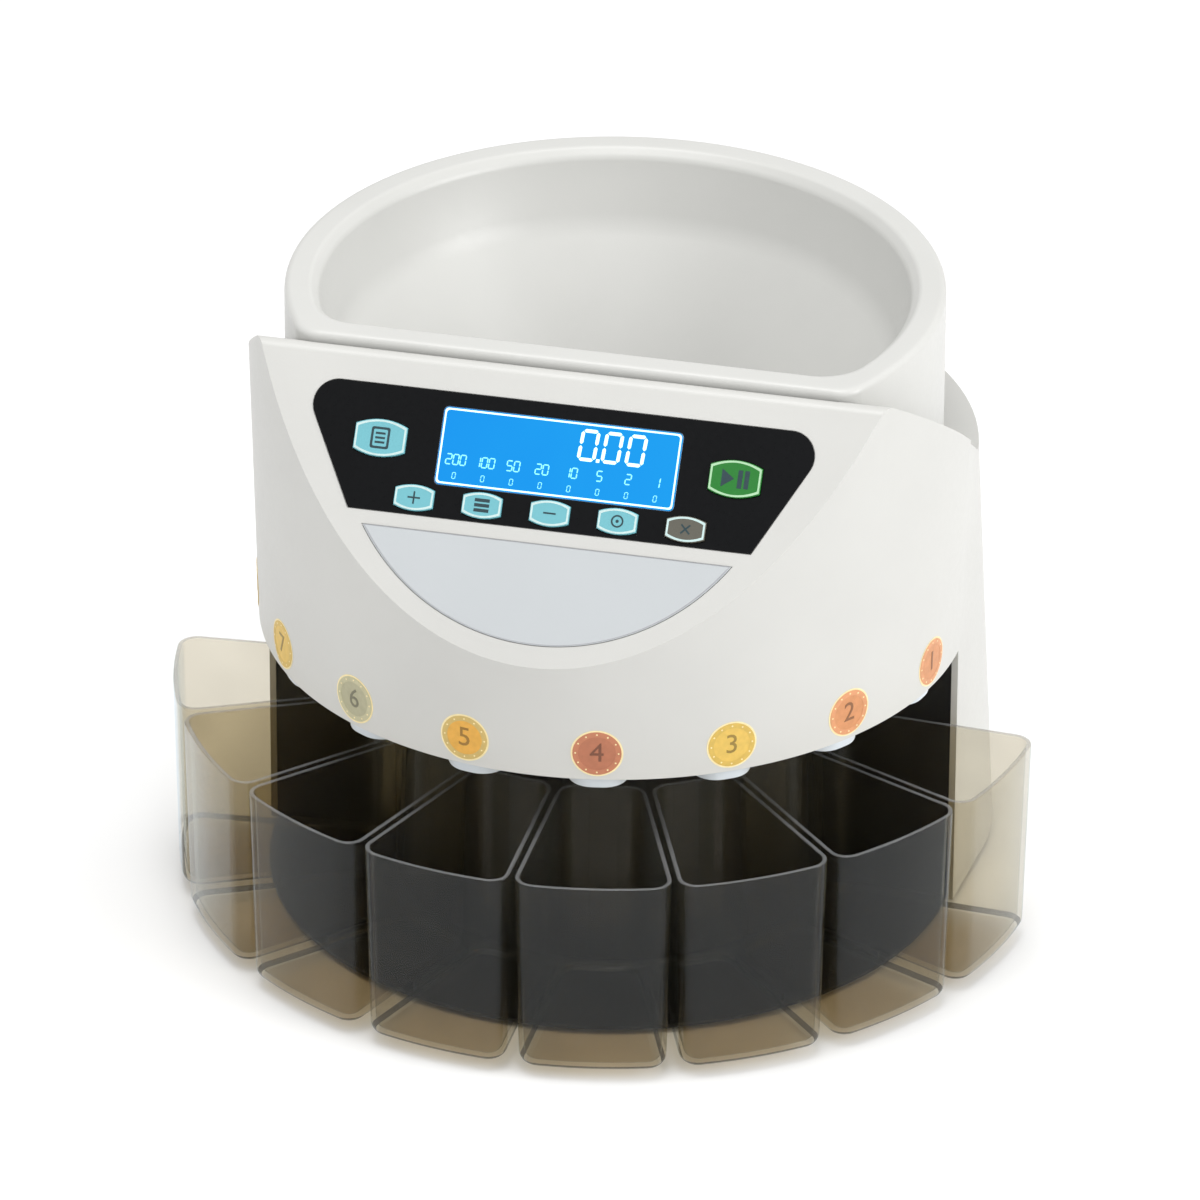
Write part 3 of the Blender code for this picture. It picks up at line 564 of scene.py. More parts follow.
class Shader:
    """A material under construction, with short calls for the nodes used here."""

    def __init__(self, name: str) -> None:
        """Starts a node material with one Principled shader.

        Args:
            name: Its name.
        """
        self.material = bpy.data.materials.new(name)
        self.material.use_nodes = True
        self.tree = self.material.node_tree
        self.surface = self.tree.nodes["Principled BSDF"]
        self.output = self.tree.nodes["Material Output"]
        self.place = self.add("ShaderNodeTexCoord").outputs["Object"]

    def add(self, kind: str, **values: object) -> bpy.types.Node:
        """A new node; values set its inputs by name, or its own properties.

        Args:
            kind: The shader node's type.

        Returns:
            The node.
        """
        node = self.tree.nodes.new(kind)
        for name, value in values.items():
            label = name.replace("_", " ").title()
            if hasattr(node, name):
                setattr(node, name, value)
            else:
                node.inputs[label].default_value = value
        return node

    def link(self, source: bpy.types.NodeSocket, target: bpy.types.NodeSocket) -> None:
        """Joins two sockets."""
        self.tree.links.new(source, target)

    def set(self, **values: object) -> "Shader":
        """Sets the surface's own sockets.

        Returns:
            The shader, so that calls can follow on.
        """
        for name, value in values.items():
            self.surface.inputs[name.replace("_", " ")].default_value = value
        return self

    def stretched(self, scale: Sequence[float]) -> bpy.types.NodeSocket:
        """Object coordinates scaled along each axis.

        Args:
            scale: Its scale.

        Returns:
            The socket.
        """
        mapping = self.add("ShaderNodeMapping")
        mapping.inputs["Scale"].default_value = scale
        self.link(self.place, mapping.inputs["Vector"])
        return mapping.outputs[0]

    def noise(
        self, scale: float, detail: float = 2.0, at: Optional[bpy.types.NodeSocket] = None
    ) -> bpy.types.NodeSocket:
        """Noise over the object's own space, scale in cells per metre.

        Args:
            scale: Its scale.
            detail: How much fine detail it has.
            at: The coordinates to use, if not the piece's own.

        Returns:
            The socket.
        """
        node = self.add("ShaderNodeTexNoise", scale=scale, detail=detail)
        self.link(at or self.place, node.inputs["Vector"])
        return node.outputs[0]

    def spread(
        self, value: bpy.types.NodeSocket, low: float, high: float, start: float = 0.3, end: float = 0.7
    ) -> bpy.types.NodeSocket:
        """A value moved from its middle range start..end to low..high.

        Args:
            value: The value to work on.
            low: The lower end.
            high: The upper end.
            start: The result at the lower end.
            end: The result at the upper end.

        Returns:
            The socket.
        """
        node = self.add("ShaderNodeMapRange")
        for name, number in (("From Min", start), ("From Max", end), ("To Min", low), ("To Max", high)):
            node.inputs[name].default_value = number
        self.link(value, node.inputs["Value"])
        return node.outputs[0]

    def shades(self, value: bpy.types.NodeSocket, dark: Colour, light: Colour) -> bpy.types.NodeSocket:
        """A colour between two, by a value from 0 to 1.

        Args:
            value: The value to work on.
            dark: The colour at 0.
            light: The colour at 1.

        Returns:
            The socket.
        """
        node = self.add("ShaderNodeMix", data_type="RGBA")
        node.inputs[6].default_value = (*dark, 1)
        node.inputs[7].default_value = (*light, 1)
        self.link(value, node.inputs[0])
        return node.outputs[2]

    def bump(
        self,
        height: bpy.types.NodeSocket,
        depth: float,
        strength: float = 1.0,
        under: Optional[bpy.types.NodeSocket] = None,
    ) -> bpy.types.NodeSocket:
        """A bump of a depth in metres, over another if one is given.

        Args:
            height: Its height.
            depth: The relief's depth.
            strength: The relief's strength.
            under: A relief below this one.

        Returns:
            The socket.
        """
        node = self.add("ShaderNodeBump")
        node.inputs["Distance"].default_value = depth
        node.inputs["Strength"].default_value = strength
        self.link(height, node.inputs["Height"])
        if under:
            self.link(under, node.inputs["Normal"])
        return node.outputs[0]

    def tinted(self, colour: Colour, spread: float, value: bpy.types.NodeSocket) -> None:
        """Base colour that varies by a share either way, driven by a value from 0 to 1.

        Args:
            colour: The base colour.
            spread: How far the colour strays.
            value: The value to work on.
        """
        dark = tuple(c * (1 - spread) for c in colour)
        light = tuple(min(1.0, c * (1 + spread)) for c in colour)
        self.link(self.shades(value, dark, light), self.surface.inputs["Base Color"])


@dataclass(frozen=True)
class MouldedPlastic:
    """Injection-moulded plastic: fine spark texture, faint flow marks and handling scuffs."""

    name: str
    colour: Colour
    roughness: float = 0.42
    variation: float = 0.025
    grain: float = 1500.0
    grain_depth: float = 0.03 * MM
    gloss: float = 0.5

    def build(self) -> bpy.types.Material:
        """The node material.

        Returns:
            The material.
        """
        s = Shader(self.name)
        broad = s.spread(s.noise(14, 3), 0, 1)
        s.tinted(self.colour, self.variation, broad)
        scuff = s.spread(s.noise(60, 4), 0, 1, 0.62, 0.74)
        fine = s.spread(s.noise(420, 3), -0.04, 0.04)
        rough = s.add("ShaderNodeMath", operation="MULTIPLY_ADD")
        rough.inputs[1].default_value = 0.05
        s.link(scuff, rough.inputs[0])
        s.link(fine, rough.inputs[2])
        total = s.add("ShaderNodeMath", operation="ADD")
        total.inputs[1].default_value = self.roughness
        s.link(rough.outputs[0], total.inputs[0])
        s.link(total.outputs[0], s.surface.inputs["Roughness"])
        flow = s.bump(s.noise(35, 1), 0.05 * MM, 0.2)
        s.link(
            s.bump(s.noise(self.grain, 2), self.grain_depth, 0.5, flow), s.surface.inputs["Normal"]
        )
        s.set(Specular_IOR_Level=self.gloss)
        return s.material


@dataclass(frozen=True)
class SmokedPlastic:
    """Thin see-through plastic: each face tints what lies behind, with a little haze and a sheen."""

    name: str
    tint: Colour
    body: Colour
    haze: float = 0.05
    sheen: float = 0.015

    def build(self) -> bpy.types.Material:
        """The node material.

        Returns:
            The material.
        """
        s = Shader(self.name)
        clear = s.add("ShaderNodeBsdfTransparent")
        cloud = s.spread(s.noise(30, 3), 0.96, 1.0)
        tint = s.add("ShaderNodeMix", data_type="RGBA", blend_type="MULTIPLY")
        tint.inputs[0].default_value = 1
        tint.inputs[6].default_value = (*self.tint, 1)
        s.link(cloud, tint.inputs[7])
        s.link(tint.outputs[2], clear.inputs["Color"])
        s.tinted(self.body, 0.08, s.spread(s.noise(80, 4), 0, 1))
        s.set(Specular_IOR_Level=0.0)
        misty = s.add("ShaderNodeMixShader")
        misty.inputs[0].default_value = self.haze
        s.link(clear.outputs[0], misty.inputs[1])
        s.link(s.surface.outputs[0], misty.inputs[2])
        polish = s.add("ShaderNodeBsdfAnisotropic")
        # The sheen's colour is tinted slightly blue: a painted cool cast in the reflection.
        polish.inputs["Color"].default_value = (0.88, 0.94, 1.0, 1)
        s.link(s.spread(s.noise(60, 3), 0.10, 0.18), polish.inputs["Roughness"])
        s.link(s.bump(s.noise(12, 1), 0.05 * MM, 0.2), polish.inputs["Normal"])
        slant = s.add("ShaderNodeLayerWeight")
        steep = s.add("ShaderNodeMath", operation="POWER")
        steep.inputs[1].default_value = 5
        s.link(slant.outputs["Facing"], steep.inputs[0])
        mix = s.add("ShaderNodeMixShader")
        s.link(s.spread(steep.outputs[0], self.sheen, 1, 0, 1), mix.inputs[0])
        s.link(misty.outputs[0], mix.inputs[1])
        s.link(polish.outputs[0], mix.inputs[2])
        s.link(mix.outputs[0], s.output.inputs["Surface"])
        return s.material


class Grain(Enum):
    """How a metal was worked."""

    TURNED = "turned"
    DRAWN = "drawn"
    CAST = "cast"


@dataclass(frozen=True)
class Metal:
    """Bare metal with its working marks and a little tarnish."""

    name: str
    colour: Colour
    roughness: float = 0.3
    grain: Grain = Grain.CAST

    def build(self) -> bpy.types.Material:
        """The node material.

        Returns:
            The material.
        """
        s = Shader(self.name)
        s.tinted(self.colour, 0.08, s.spread(s.noise(40, 4), 0, 1))
        if self.grain is Grain.TURNED:
            wave = s.add("ShaderNodeTexWave", wave_type="RINGS", rings_direction="Z")
            wave.inputs["Scale"].default_value = 420
            wave.inputs["Distortion"].default_value = 1.5
            s.link(s.place, wave.inputs["Vector"])
            marks = wave.outputs["Fac"]
        elif self.grain is Grain.DRAWN:
            marks = s.noise(900, 2, s.stretched((1, 1, 0.03)))
        else:
            marks = s.noise(700, 3)
        s.link(s.spread(marks, self.roughness - 0.07, self.roughness + 0.1), s.surface.inputs["Roughness"])
        s.link(s.bump(marks, 0.03 * MM, 0.5), s.surface.inputs["Normal"])
        s.set(Metallic=1.0)
        return s.material


@dataclass(frozen=True)
class Laminate:
    """A circuit board: solder mask over a pattern of copper tracks."""

    name: str
    mask: Colour = (0.012, 0.11, 0.045)
    track: Colour = (0.03, 0.24, 0.09)

    def build(self) -> bpy.types.Material:
        """The node material.

        Returns:
            The material.
        """
        s = Shader(self.name)
        cells = s.add("ShaderNodeTexVoronoi", feature="DISTANCE_TO_EDGE", scale=260)
        s.link(s.place, cells.inputs["Vector"])
        lines = s.spread(cells.outputs["Distance"], 1, 0, 0.05, 0.11)
        s.link(s.shades(lines, self.mask, self.track), s.surface.inputs["Base Color"])
        s.link(s.spread(s.noise(200, 3), 0.28, 0.42), s.surface.inputs["Roughness"])
        s.link(s.bump(lines, 0.04 * MM, 0.6), s.surface.inputs["Normal"])
        s.set(Coat_Weight=0.4, Coat_Roughness=0.1)
        return s.material


@dataclass(frozen=True)
class Printed:
    """Ink, paint or foil in one colour, with its slight unevenness."""

    name: str
    colour: Colour
    roughness: float = 0.4
    metallic: float = 0.0
    glow: float = 0.0
    relief: float = 0.02 * MM

    def build(self) -> bpy.types.Material:
        """The node material.

        Returns:
            The material.
        """
        s = Shader(self.name)
        s.tinted(self.colour, 0.07, s.spread(s.noise(350, 4), 0, 1))
        s.link(
            s.spread(s.noise(900, 3), self.roughness - 0.06, self.roughness + 0.08),
            s.surface.inputs["Roughness"],
        )
        s.link(s.bump(s.noise(1300, 2), self.relief, 0.5), s.surface.inputs["Normal"])
        s.set(Metallic=self.metallic)
        if self.glow:
            s.set(Emission_Color=(*self.colour, 1), Emission_Strength=self.glow)
        return s.material


@dataclass(frozen=True)
class Backlight:
    """The display's window: a blue that grows lighter to one side, behind a fine cell grid."""

    name: str
    deep: Colour = (0.0, 0.12, 0.80)
    pale: Colour = (0.025, 0.58, 0.86)
    glow: float = 1.0

    def build(self) -> bpy.types.Material:
        """The node material.

        Returns:
            The material.
        """
        s = Shader(self.name)
        own = s.add("ShaderNodeTexCoord").outputs["Generated"]
        parts = s.add("ShaderNodeSeparateXYZ")
        s.link(own, parts.inputs[0])
        across = s.spread(parts.outputs["X"], 0, 1, 0.15, 1.1)
        ripple = s.add("ShaderNodeMath", operation="MULTIPLY_ADD")
        ripple.inputs[1].default_value = 0.12
        s.link(s.noise(25, 2), ripple.inputs[0])
        s.link(across, ripple.inputs[2])
        colour = s.shades(ripple.outputs[0], self.deep, self.pale)
        s.link(colour, s.surface.inputs["Emission Color"])
        s.link(s.shades(across, (0, 0.01, 0.05), (0, 0.03, 0.06)), s.surface.inputs["Base Color"])
        s.link(s.spread(s.noise(600, 2), 0.1, 0.2), s.surface.inputs["Roughness"])
        s.link(s.bump(s.noise(2400, 1), 0.01 * MM, 0.3), s.surface.inputs["Normal"])
        s.set(Emission_Strength=self.glow, Specular_IOR_Level=0.08)
        return s.material


@dataclass(frozen=True)
class Rubber:
    """Matt rubber with a dusty bloom."""

    name: str
    colour: Colour = (0.025, 0.025, 0.027)

    def build(self) -> bpy.types.Material:
        """The node material.

        Returns:
            The material.
        """
        s = Shader(self.name)
        s.tinted(self.colour, 0.25, s.spread(s.noise(120, 5), 0, 1))
        s.link(s.spread(s.noise(300, 4), 0.62, 0.85), s.surface.inputs["Roughness"])
        s.link(s.bump(s.noise(1800, 3), 0.05 * MM, 0.6), s.surface.inputs["Normal"])
        return s.material


class Finishes:
    """Every finish, built once."""

    def __init__(self) -> None:
        """Builds the materials."""
        self.white = MouldedPlastic("warm_white_shell", (0.575, 0.573, 0.55)).build()
        self.bowl = MouldedPlastic("white_bowl", (0.58, 0.58, 0.558), 0.36).build()
        self.black = MouldedPlastic(
            "black_moulding", (0.010, 0.010, 0.0105), 0.5, 0.15, grain_depth=0.008 * MM, gloss=0.25
        ).build()
        self.dark_fitting = MouldedPlastic("black_fitting", (0.022, 0.022, 0.024), 0.38, 0.12).build()
        self.overlay = MouldedPlastic(
            "gloss_overlay_film", (0.004, 0.0043, 0.005), 0.3, 0.1, 700, 0.008 * MM, gloss=0.13
        ).build()
        self.badge = MouldedPlastic("pale_badge", (0.50, 0.525, 0.54), 0.34, 0.015, 900, 0.008 * MM).build()
        self.chute = MouldedPlastic("pale_grey_chute", (0.62, 0.67, 0.72), 0.36).build()
        self.nylon = MouldedPlastic("milky_nylon", (0.75, 0.73, 0.66), 0.45, 0.05).build()
        self.cup_wall = SmokedPlastic(
            "smoked_wall", (0.915, 0.886, 0.816), (0.07, 0.078, 0.09), 0.045
        ).build()
        # Lighter, hazier smoke on the cups' rounded top lip: a painted highlight where the rim catches the light.
        self.cup_rim = SmokedPlastic("smoked_rim", (0.88, 0.86, 0.82), (0.36, 0.365, 0.37), 0.34).build()
        # Darker, browner smoke on the floor faces: painted shade, standing in for the dim table seen through the cup
        # bottoms.
        self.cup_floor = SmokedPlastic("smoked_floor", (0.86, 0.81, 0.72), (0.06, 0.055, 0.05)).build()
        # Dark, hazy smoke on a band of the foot rounding: a painted shade line along the bottom of each cup.
        self.cup_edge = SmokedPlastic("smoked_edge", (0.6, 0.56, 0.5), (0.03, 0.028, 0.026), 0.55).build()
        self.display = Backlight("backlit_window").build()
        self.pixels = Printed("lit_segments", (0.62, 0.93, 1.0), 0.3, glow=0.75).build()
        self.dim_pixels = Printed("faint_segments", (0.22, 0.68, 1.0), 0.3, glow=0.6).build()
        self.key_teal = MouldedPlastic("teal_key_cap", (0.15, 0.44, 0.50), 0.38, 0.04).build()
        self.key_green = MouldedPlastic("green_key_cap", (0.008, 0.17, 0.016), 0.38, 0.06).build()
        self.key_grey = MouldedPlastic("grey_key_cap", (0.10, 0.095, 0.075), 0.4, 0.06).build()
        self.pale_ink = Printed("pale_key_line", (0.52, 0.68, 0.67), 0.4).build()
        self.green_ink = Printed("pale_green_line", (0.38, 0.62, 0.38), 0.4).build()
        self.dark_ink = Printed("dark_symbol", (0.012, 0.04, 0.05), 0.45).build()
        self.grey_line = Printed("badge_line", (0.34, 0.35, 0.37), 0.5).build()
        self.foil = Printed("pale_foil", (0.86, 0.74, 0.42), 0.35, 0.3).build()
        self.steel = Metal("bright_steel", (0.62, 0.63, 0.64), 0.26, Grain.DRAWN).build()
        self.turned_steel = Metal("turned_steel", (0.58, 0.59, 0.60), 0.3, Grain.TURNED).build()
        self.plated = Metal("zinc_plate", (0.60, 0.61, 0.60), 0.38, Grain.CAST).build()
        self.aluminium = Metal("turned_aluminium", (0.74, 0.75, 0.76), 0.3, Grain.TURNED).build()
        self.brass = Metal("brass_pin", (0.78, 0.58, 0.25), 0.28, Grain.CAST).build()
        self.rubber = Rubber("black_rubber").build()
        self.board = Laminate("green_board").build()


# --- housing -------------------------------------------------------------------------------


@dataclass(frozen=True)
class Housing:
    """The white shell: round in front, rounded behind, with a slanted fascia and a falling top."""

    wall: float = 2.6 * MM
    skirt_z: float = 119 * MM
    skirt_r: float = 143.5 * MM
    top_r: float = 147 * MM
    side_floor: float = 147 * MM
    side_shoulder: float = 143.9 * MM
    corner_floor: float = 104 * MM
    corner_shoulder: float = 139 * MM
    foot_z: float = 3 * MM
    shoulder_z: float = 191 * MM
    shoulder_y: float = 32 * MM
    ridge_y: float = -76 * MM
    ridge_z: float = 262 * MM
    ridge_top: float = 4.2 * MM
    rear_y: float = 152 * MM
    bay_y: float = -4 * MM
    slope: float = math.radians(53.9)
    edge: float = 2.0 * MM

    def front_radius(self, z: float) -> float:
        """Radius of the round front at a height."""
        return blend(self.skirt_r, self.top_r, max(z - self.skirt_z, 0) / (self.ridge_z - self.skirt_z))

    def plan(self, z: float, inset: float = 0.0) -> Outline:
        """The outline at a height, set in from the outside.

        Args:
            z: The level's height.
            inset: How far the outline is drawn in.

        Returns:
            The outline.
        """
        rise = (z - self.foot_z) / (self.shoulder_z - self.foot_z)
        side = blend(self.side_floor, self.side_shoulder, rise) - inset
        corner = min(blend(self.corner_floor, self.corner_shoulder, rise), self.rear_y - 2 * MM) - inset
        rear = self.rear_y - inset
        outline = arc(self.front_radius(z) - inset, 180, 360, 97)
        outline += arc(corner, 0, 90, 33, (side - corner, rear - corner))
        outline += arc(corner, 90, 180, 33, (corner - side, rear - corner))
        return outline

    def above(self, inset: float = 0.0) -> Outline:
        """Side view of all that lies over the shell, its ridge and shoulder rounded.

        Args:
            inset: How far the outline is drawn in.

        Returns:
            The outline.
        """
        rise = math.tan(self.slope)
        fall = (self.ridge_z - self.shoulder_z) / (self.shoulder_y - self.ridge_y - self.ridge_top)
        far = 200 * MM
        ridge = self.ridge_z - inset
        drop_front = inset * math.hypot(1, rise)
        drop_back = inset * math.hypot(1, fall)
        front = self.ridge_y + (drop_front - inset) / rise
        back = self.ridge_y + self.ridge_top - (drop_back - inset) / fall
        shoulder = self.shoulder_y - (drop_back - inset) / fall
        corners = [
            (-far, ridge - (far + front) * rise),
            (front, ridge),
            (back, ridge),
            (shoulder, self.shoulder_z - inset),
            (far, self.shoulder_z - inset),
            (far, 2 * far),
            (-far, 2 * far),
        ]
        share = (back - front) / self.ridge_top
        return eased(corners, [0, share * 2.0 * MM, share * 1.9 * MM, 9 * MM, 0, 0, 0])

    def across(self, profile: Outline, half: float) -> bpy.types.Mesh:
        """A tool with one side view all the way across."""
        return loft("across", [[(x, y, z) for y, z in profile] for x in (-half, half)])

    def build(self, finishes: Finishes, fascia: "Fascia", hopper: "Hopper") -> None:
        """Models the shell with its round edges, bay, hopper hole, recesses and rear opening.

        Args:
            finishes: The finishes.
            fascia: The fascia that it meets.
            hopper: The hopper that it meets.
        """
        levels = (self.foot_z, self.skirt_z, self.shoulder_z, self.ridge_z + 5 * MM)
        shell = solid(loft("housing_shell", [raised(self.plan(z), z) for z in levels]))
        carve(shell, self.across(self.above(), 200 * MM))
        soften(shell, self.edge, 4, 24)
        settle(shell)

        inner = (self.foot_z - 5 * MM, *levels[1:])
        inside = solid(loft("inside", [raised(self.plan(z, self.wall), z) for z in inner]))
        carve(inside, self.across(self.above(self.wall), 190 * MM))
        carve(shell, inside.data.copy())
        bpy.data.objects.remove(inside)

        depth = 200 * MM
        bay = (320 * MM, depth, self.skirt_z)
        carve(shell, block("bay", bay, (0, self.bay_y - depth / 2, self.skirt_z / 2)))
        hole = hopper.plan(hopper.radius + hopper.hole_gap, hopper.front + hopper.hole_gap, 13 * MM)
        carve(shell, plate("hopper_hole", [hole], self.shoulder_z - 8 * MM, self.ridge_z + 20 * MM))
        for side in (-1, 1):
            carve(shell, hopper.ear(side), operation="UNION")
        carve(shell, hopper.bore())
        self.cut_fascia(shell, fascia)
        self.cut_rear(shell)
        dress(shell, finishes.white, Slot.WHITE, replaces=["main_housing"], angle=32)
        log.info("housing: %d faces", len(shell.data.polygons))

    def cut_fascia(self, shell: bpy.types.Object, fascia: "Fascia") -> None:
        """Recesses for the overlay and the badge, the display's window and the key holes.

        Args:
            shell: The housing shell.
            fascia: The fascia that it meets.
        """
        for outline in (fascia.overlay(GAP), fascia.badge(GAP)):
            carve(shell, plate("recess", [outline], -fascia.recess, 5 * MM), fascia.matrix)
        width, height = fascia.lcd[0] - 4 * MM, fascia.lcd[1] - 4 * MM
        holes = [rounded_box(width, height, MM, (0, -fascia.lcd_down))]
        for key in fascia.keys():
            holes.append(key.outline(GAP, key.centre))
        carve(shell, plate("holes", holes, -6 * MM, 3 * MM), fascia.matrix)

    def cut_rear(self, shell: bpy.types.Object) -> None:
        """The recess, backing and opening behind the rear panel.

        Args:
            shell: The housing shell.
        """
        low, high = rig.box("rear_panel")
        middle = (low + high) / 2 - axis_place()
        width, height = high.x - low.x, high.z - low.z
        face = low.y - axis_place().y - GAP
        recess = (width + 2 * GAP, 10 * MM, height + 2 * GAP)
        carve(shell, block("recess", recess, (0, face + 5 * MM, middle.z)))
        backing = (width + 6 * MM, 3 * MM, height + 6 * MM)
        carve(shell, block("backing", backing, (0, face - 1.5 * MM, middle.z)), operation="UNION")
        opening = (width - 8 * MM, 30 * MM, height - 8 * MM)
        carve(shell, block("opening", opening, (0, self.rear_y, middle.z)))


# --- hopper --------------------------------------------------------------------------------


@dataclass(frozen=True)
class Hopper:
    """The bowl: a broad rim, straight in front, that narrows to a round throat over the disc."""

    radius: float = 132 * MM
    front: float = 71 * MM
    wall: float = 2.6 * MM
    throat: float = 61 * MM
    hole_gap: float = 1.2 * MM
    hinge_r: float = 4.6 * MM
    pin_r: float = 2 * MM
    lug_x: float = 40 * MM
    ear_x: float = 30 * MM
    lug_w: float = 8 * MM

    def hinge(self) -> Point:
        """The hinge axis as (y, z) from the sorting axis.

        Returns:
            Where its line is, seen from the side.
        """
        low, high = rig.box("hinge_pin")
        middle = (low + high) / 2 - axis_place()
        return (middle.y, middle.z)

    def plan(self, radius: float, front: Optional[float], corner: float) -> Outline:
        """A circle cut off straight in front with round corners; a whole circle if front is None.

        Args:
            radius: Its radius.
            front: Where the straight front edge is.
            corner: Radius of its corners.

        Returns:
            The outline.
        """
        if front is None:
            chord = arc(radius, -115, -65, 25)
            right = arc(radius, -65, -30, 15)[1:]
            back = arc(radius, -30, 210, 97)[1:-1]
        else:
            cy = corner - front
            cx = math.sqrt((radius - corner) ** 2 - cy**2)
            lean = math.degrees(math.atan2(cy, cx))
            chord = [(cx * (i / 12 - 1), -front) for i in range(25)]
            right = arc(corner, -90, lean, 15, (cx, cy))[1:]
            back = arc(radius, lean, 180 - lean, 97)[1:-1]
        left = [(-x, y) for x, y in reversed(right)]
        return chord + right + back + left

    def level(self, inset: float, z: float) -> list[tuple[float, float, float]]:
        """The rim's outline at a height, set in from the outer wall.

        Args:
            inset: How far the outline is drawn in.
            z: The level's height.

        Returns:
            The level's points.
        """
        deepest = 19 * MM
        t = min(inset / deepest, 1)
        corner = blend(12 * MM, 28 * MM, t)
        return raised(self.plan(self.radius - inset, self.front - inset, corner), z)

    def rings(self, low: float, top: float) -> list[list[tuple[float, float, float]]]:
        """The section's rings: up the outer wall, over the rim, down the bowl and back beneath.

        Args:
            low: The lower end.
            top: The upper level.

        Returns:
            The rings.
        """
        w = self.wall
        over = [(0, low), (0, top), (10.5 * MM, top), (13.8 * MM, top - 3.5 * MM), (19 * MM, top - 26 * MM)]
        rings = [self.level(d, z) for d, z in eased(over, [0, 2.8 * MM, 1.2 * MM, 1.5 * MM, 0])]
        throat_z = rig.box("hopper")[0].z
        bowl = (self.throat + 4 * MM, throat_z + 14 * MM)
        rings += self.funnel(rings[-1], bowl)
        rings.append(raised(self.plan(self.throat, None, 0), throat_z))
        rings.append(raised(self.plan(self.throat + w, None, 0), throat_z))
        under = self.level(16.4 * MM, top - 30 * MM)
        rings += reversed(self.funnel(under, (bowl[0] + w, bowl[1] - MM)))
        back = [(16.4 * MM, top - 30 * MM), (11.2 * MM, top - 7 * MM), (w, top - 7 * MM), (w, low)]
        rings += [self.level(d, z) for d, z in back]
        return rings

    def funnel(
        self, upper: list[tuple[float, float, float]], lower: Point
    ) -> list[list[tuple[float, float, float]]]:
        """Rings from the rim's inner edge down to the throat.

        Args:
            upper: The ring that the funnel starts from.
            lower: The (radius, height) that it ends at.

        Returns:
            The rings below upper, top to bottom.
        """
        steps = 8
        ring = raised(self.plan(lower[0], None, 0), lower[1])
        made = []
        for k in range(1, steps + 1):
            t = k / steps
            made.append([tuple(blend(a, b, t) for a, b in zip(p, q)) for p, q in zip(upper, ring)])
        return made

    def eye(self, side: int, x: float, start: float, outline: Outline) -> bpy.types.Mesh:
        """A hinge ear or lug, from its side view.

        Args:
            side: -1 for the left, 1 for the right.
            x: Where it stands along X.
            start: Where the eye starts.
            outline: Its outline.

        Returns:
            The mesh.
        """
        middle = side * x
        faces = (middle + start, middle - start)
        return loft("eye", [[(across, y, z) for y, z in outline] for across in faces])

    def ear(self, side: int) -> bpy.types.Mesh:
        """One of the housing's two ears.

        Args:
            side: -1 for the left, 1 for the right.

        Returns:
            The mesh.
        """
        y, z = self.hinge()
        shoulder = Housing().shoulder_z - MM
        outline = arc(self.hinge_r, 0, 180, 25, (y, z))
        outline += [(y - self.hinge_r, shoulder), (y + self.hinge_r, shoulder)]
        return self.eye(side, self.ear_x, self.lug_w / 2, outline)

    def lug(self, side: int) -> bpy.types.Mesh:
        """One of the hopper's two lugs.

        Args:
            side: -1 for the left, 1 for the right.

        Returns:
            The mesh.
        """
        y, z = self.hinge()
        reach = math.sqrt(self.radius**2 - self.lug_x**2) - 2 * MM
        outline = arc(self.hinge_r, -90, 90, 25, (y, z))
        outline += [(reach, z + self.hinge_r), (reach, z - self.hinge_r)]
        return self.eye(side, self.lug_x, self.lug_w / 2, outline)

    def bore(self) -> bpy.types.Mesh:
        """The tool for the pin's holes.

        Returns:
            The mesh.
        """
        y, z = self.hinge()
        half = 60 * MM
        round_ = circle(self.pin_r + GAP, 24, (y, z))
        return loft("bore", [[(x, py, pz) for py, pz in round_] for x in (-half, half)])

    def build(self, finishes: Finishes) -> None:
        """Models the bowl and its lugs.

        Args:
            finishes: The finishes.
        """
        low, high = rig.box("hopper")
        wall_foot = 187.5 * MM
        bowl = solid(loft("hopper_bowl", self.rings(wall_foot, high.z), ends=False))
        for side in (-1, 1):
            carve(bowl, self.lug(side), operation="UNION")
        carve(bowl, self.bore())
        dress(bowl, finishes.bowl, Slot.WHITE, Body.HOPPER.value, ["hopper"], 32)
        refinish(finishes.steel, "hinge_pin")
        log.info("hopper: %d faces, rim at %.1f mm", len(bowl.data.polygons), high.z / MM)


# --- fascia --------------------------------------------------------------------------------


class Mark(Enum):
    """The plain symbols on the keys."""

    SHEET = "sheet"
    RUN = "run"
    PLUS = "plus"
    STACK = "stack"
    MINUS = "minus"
    RING = "ring"
    CROSS = "cross"


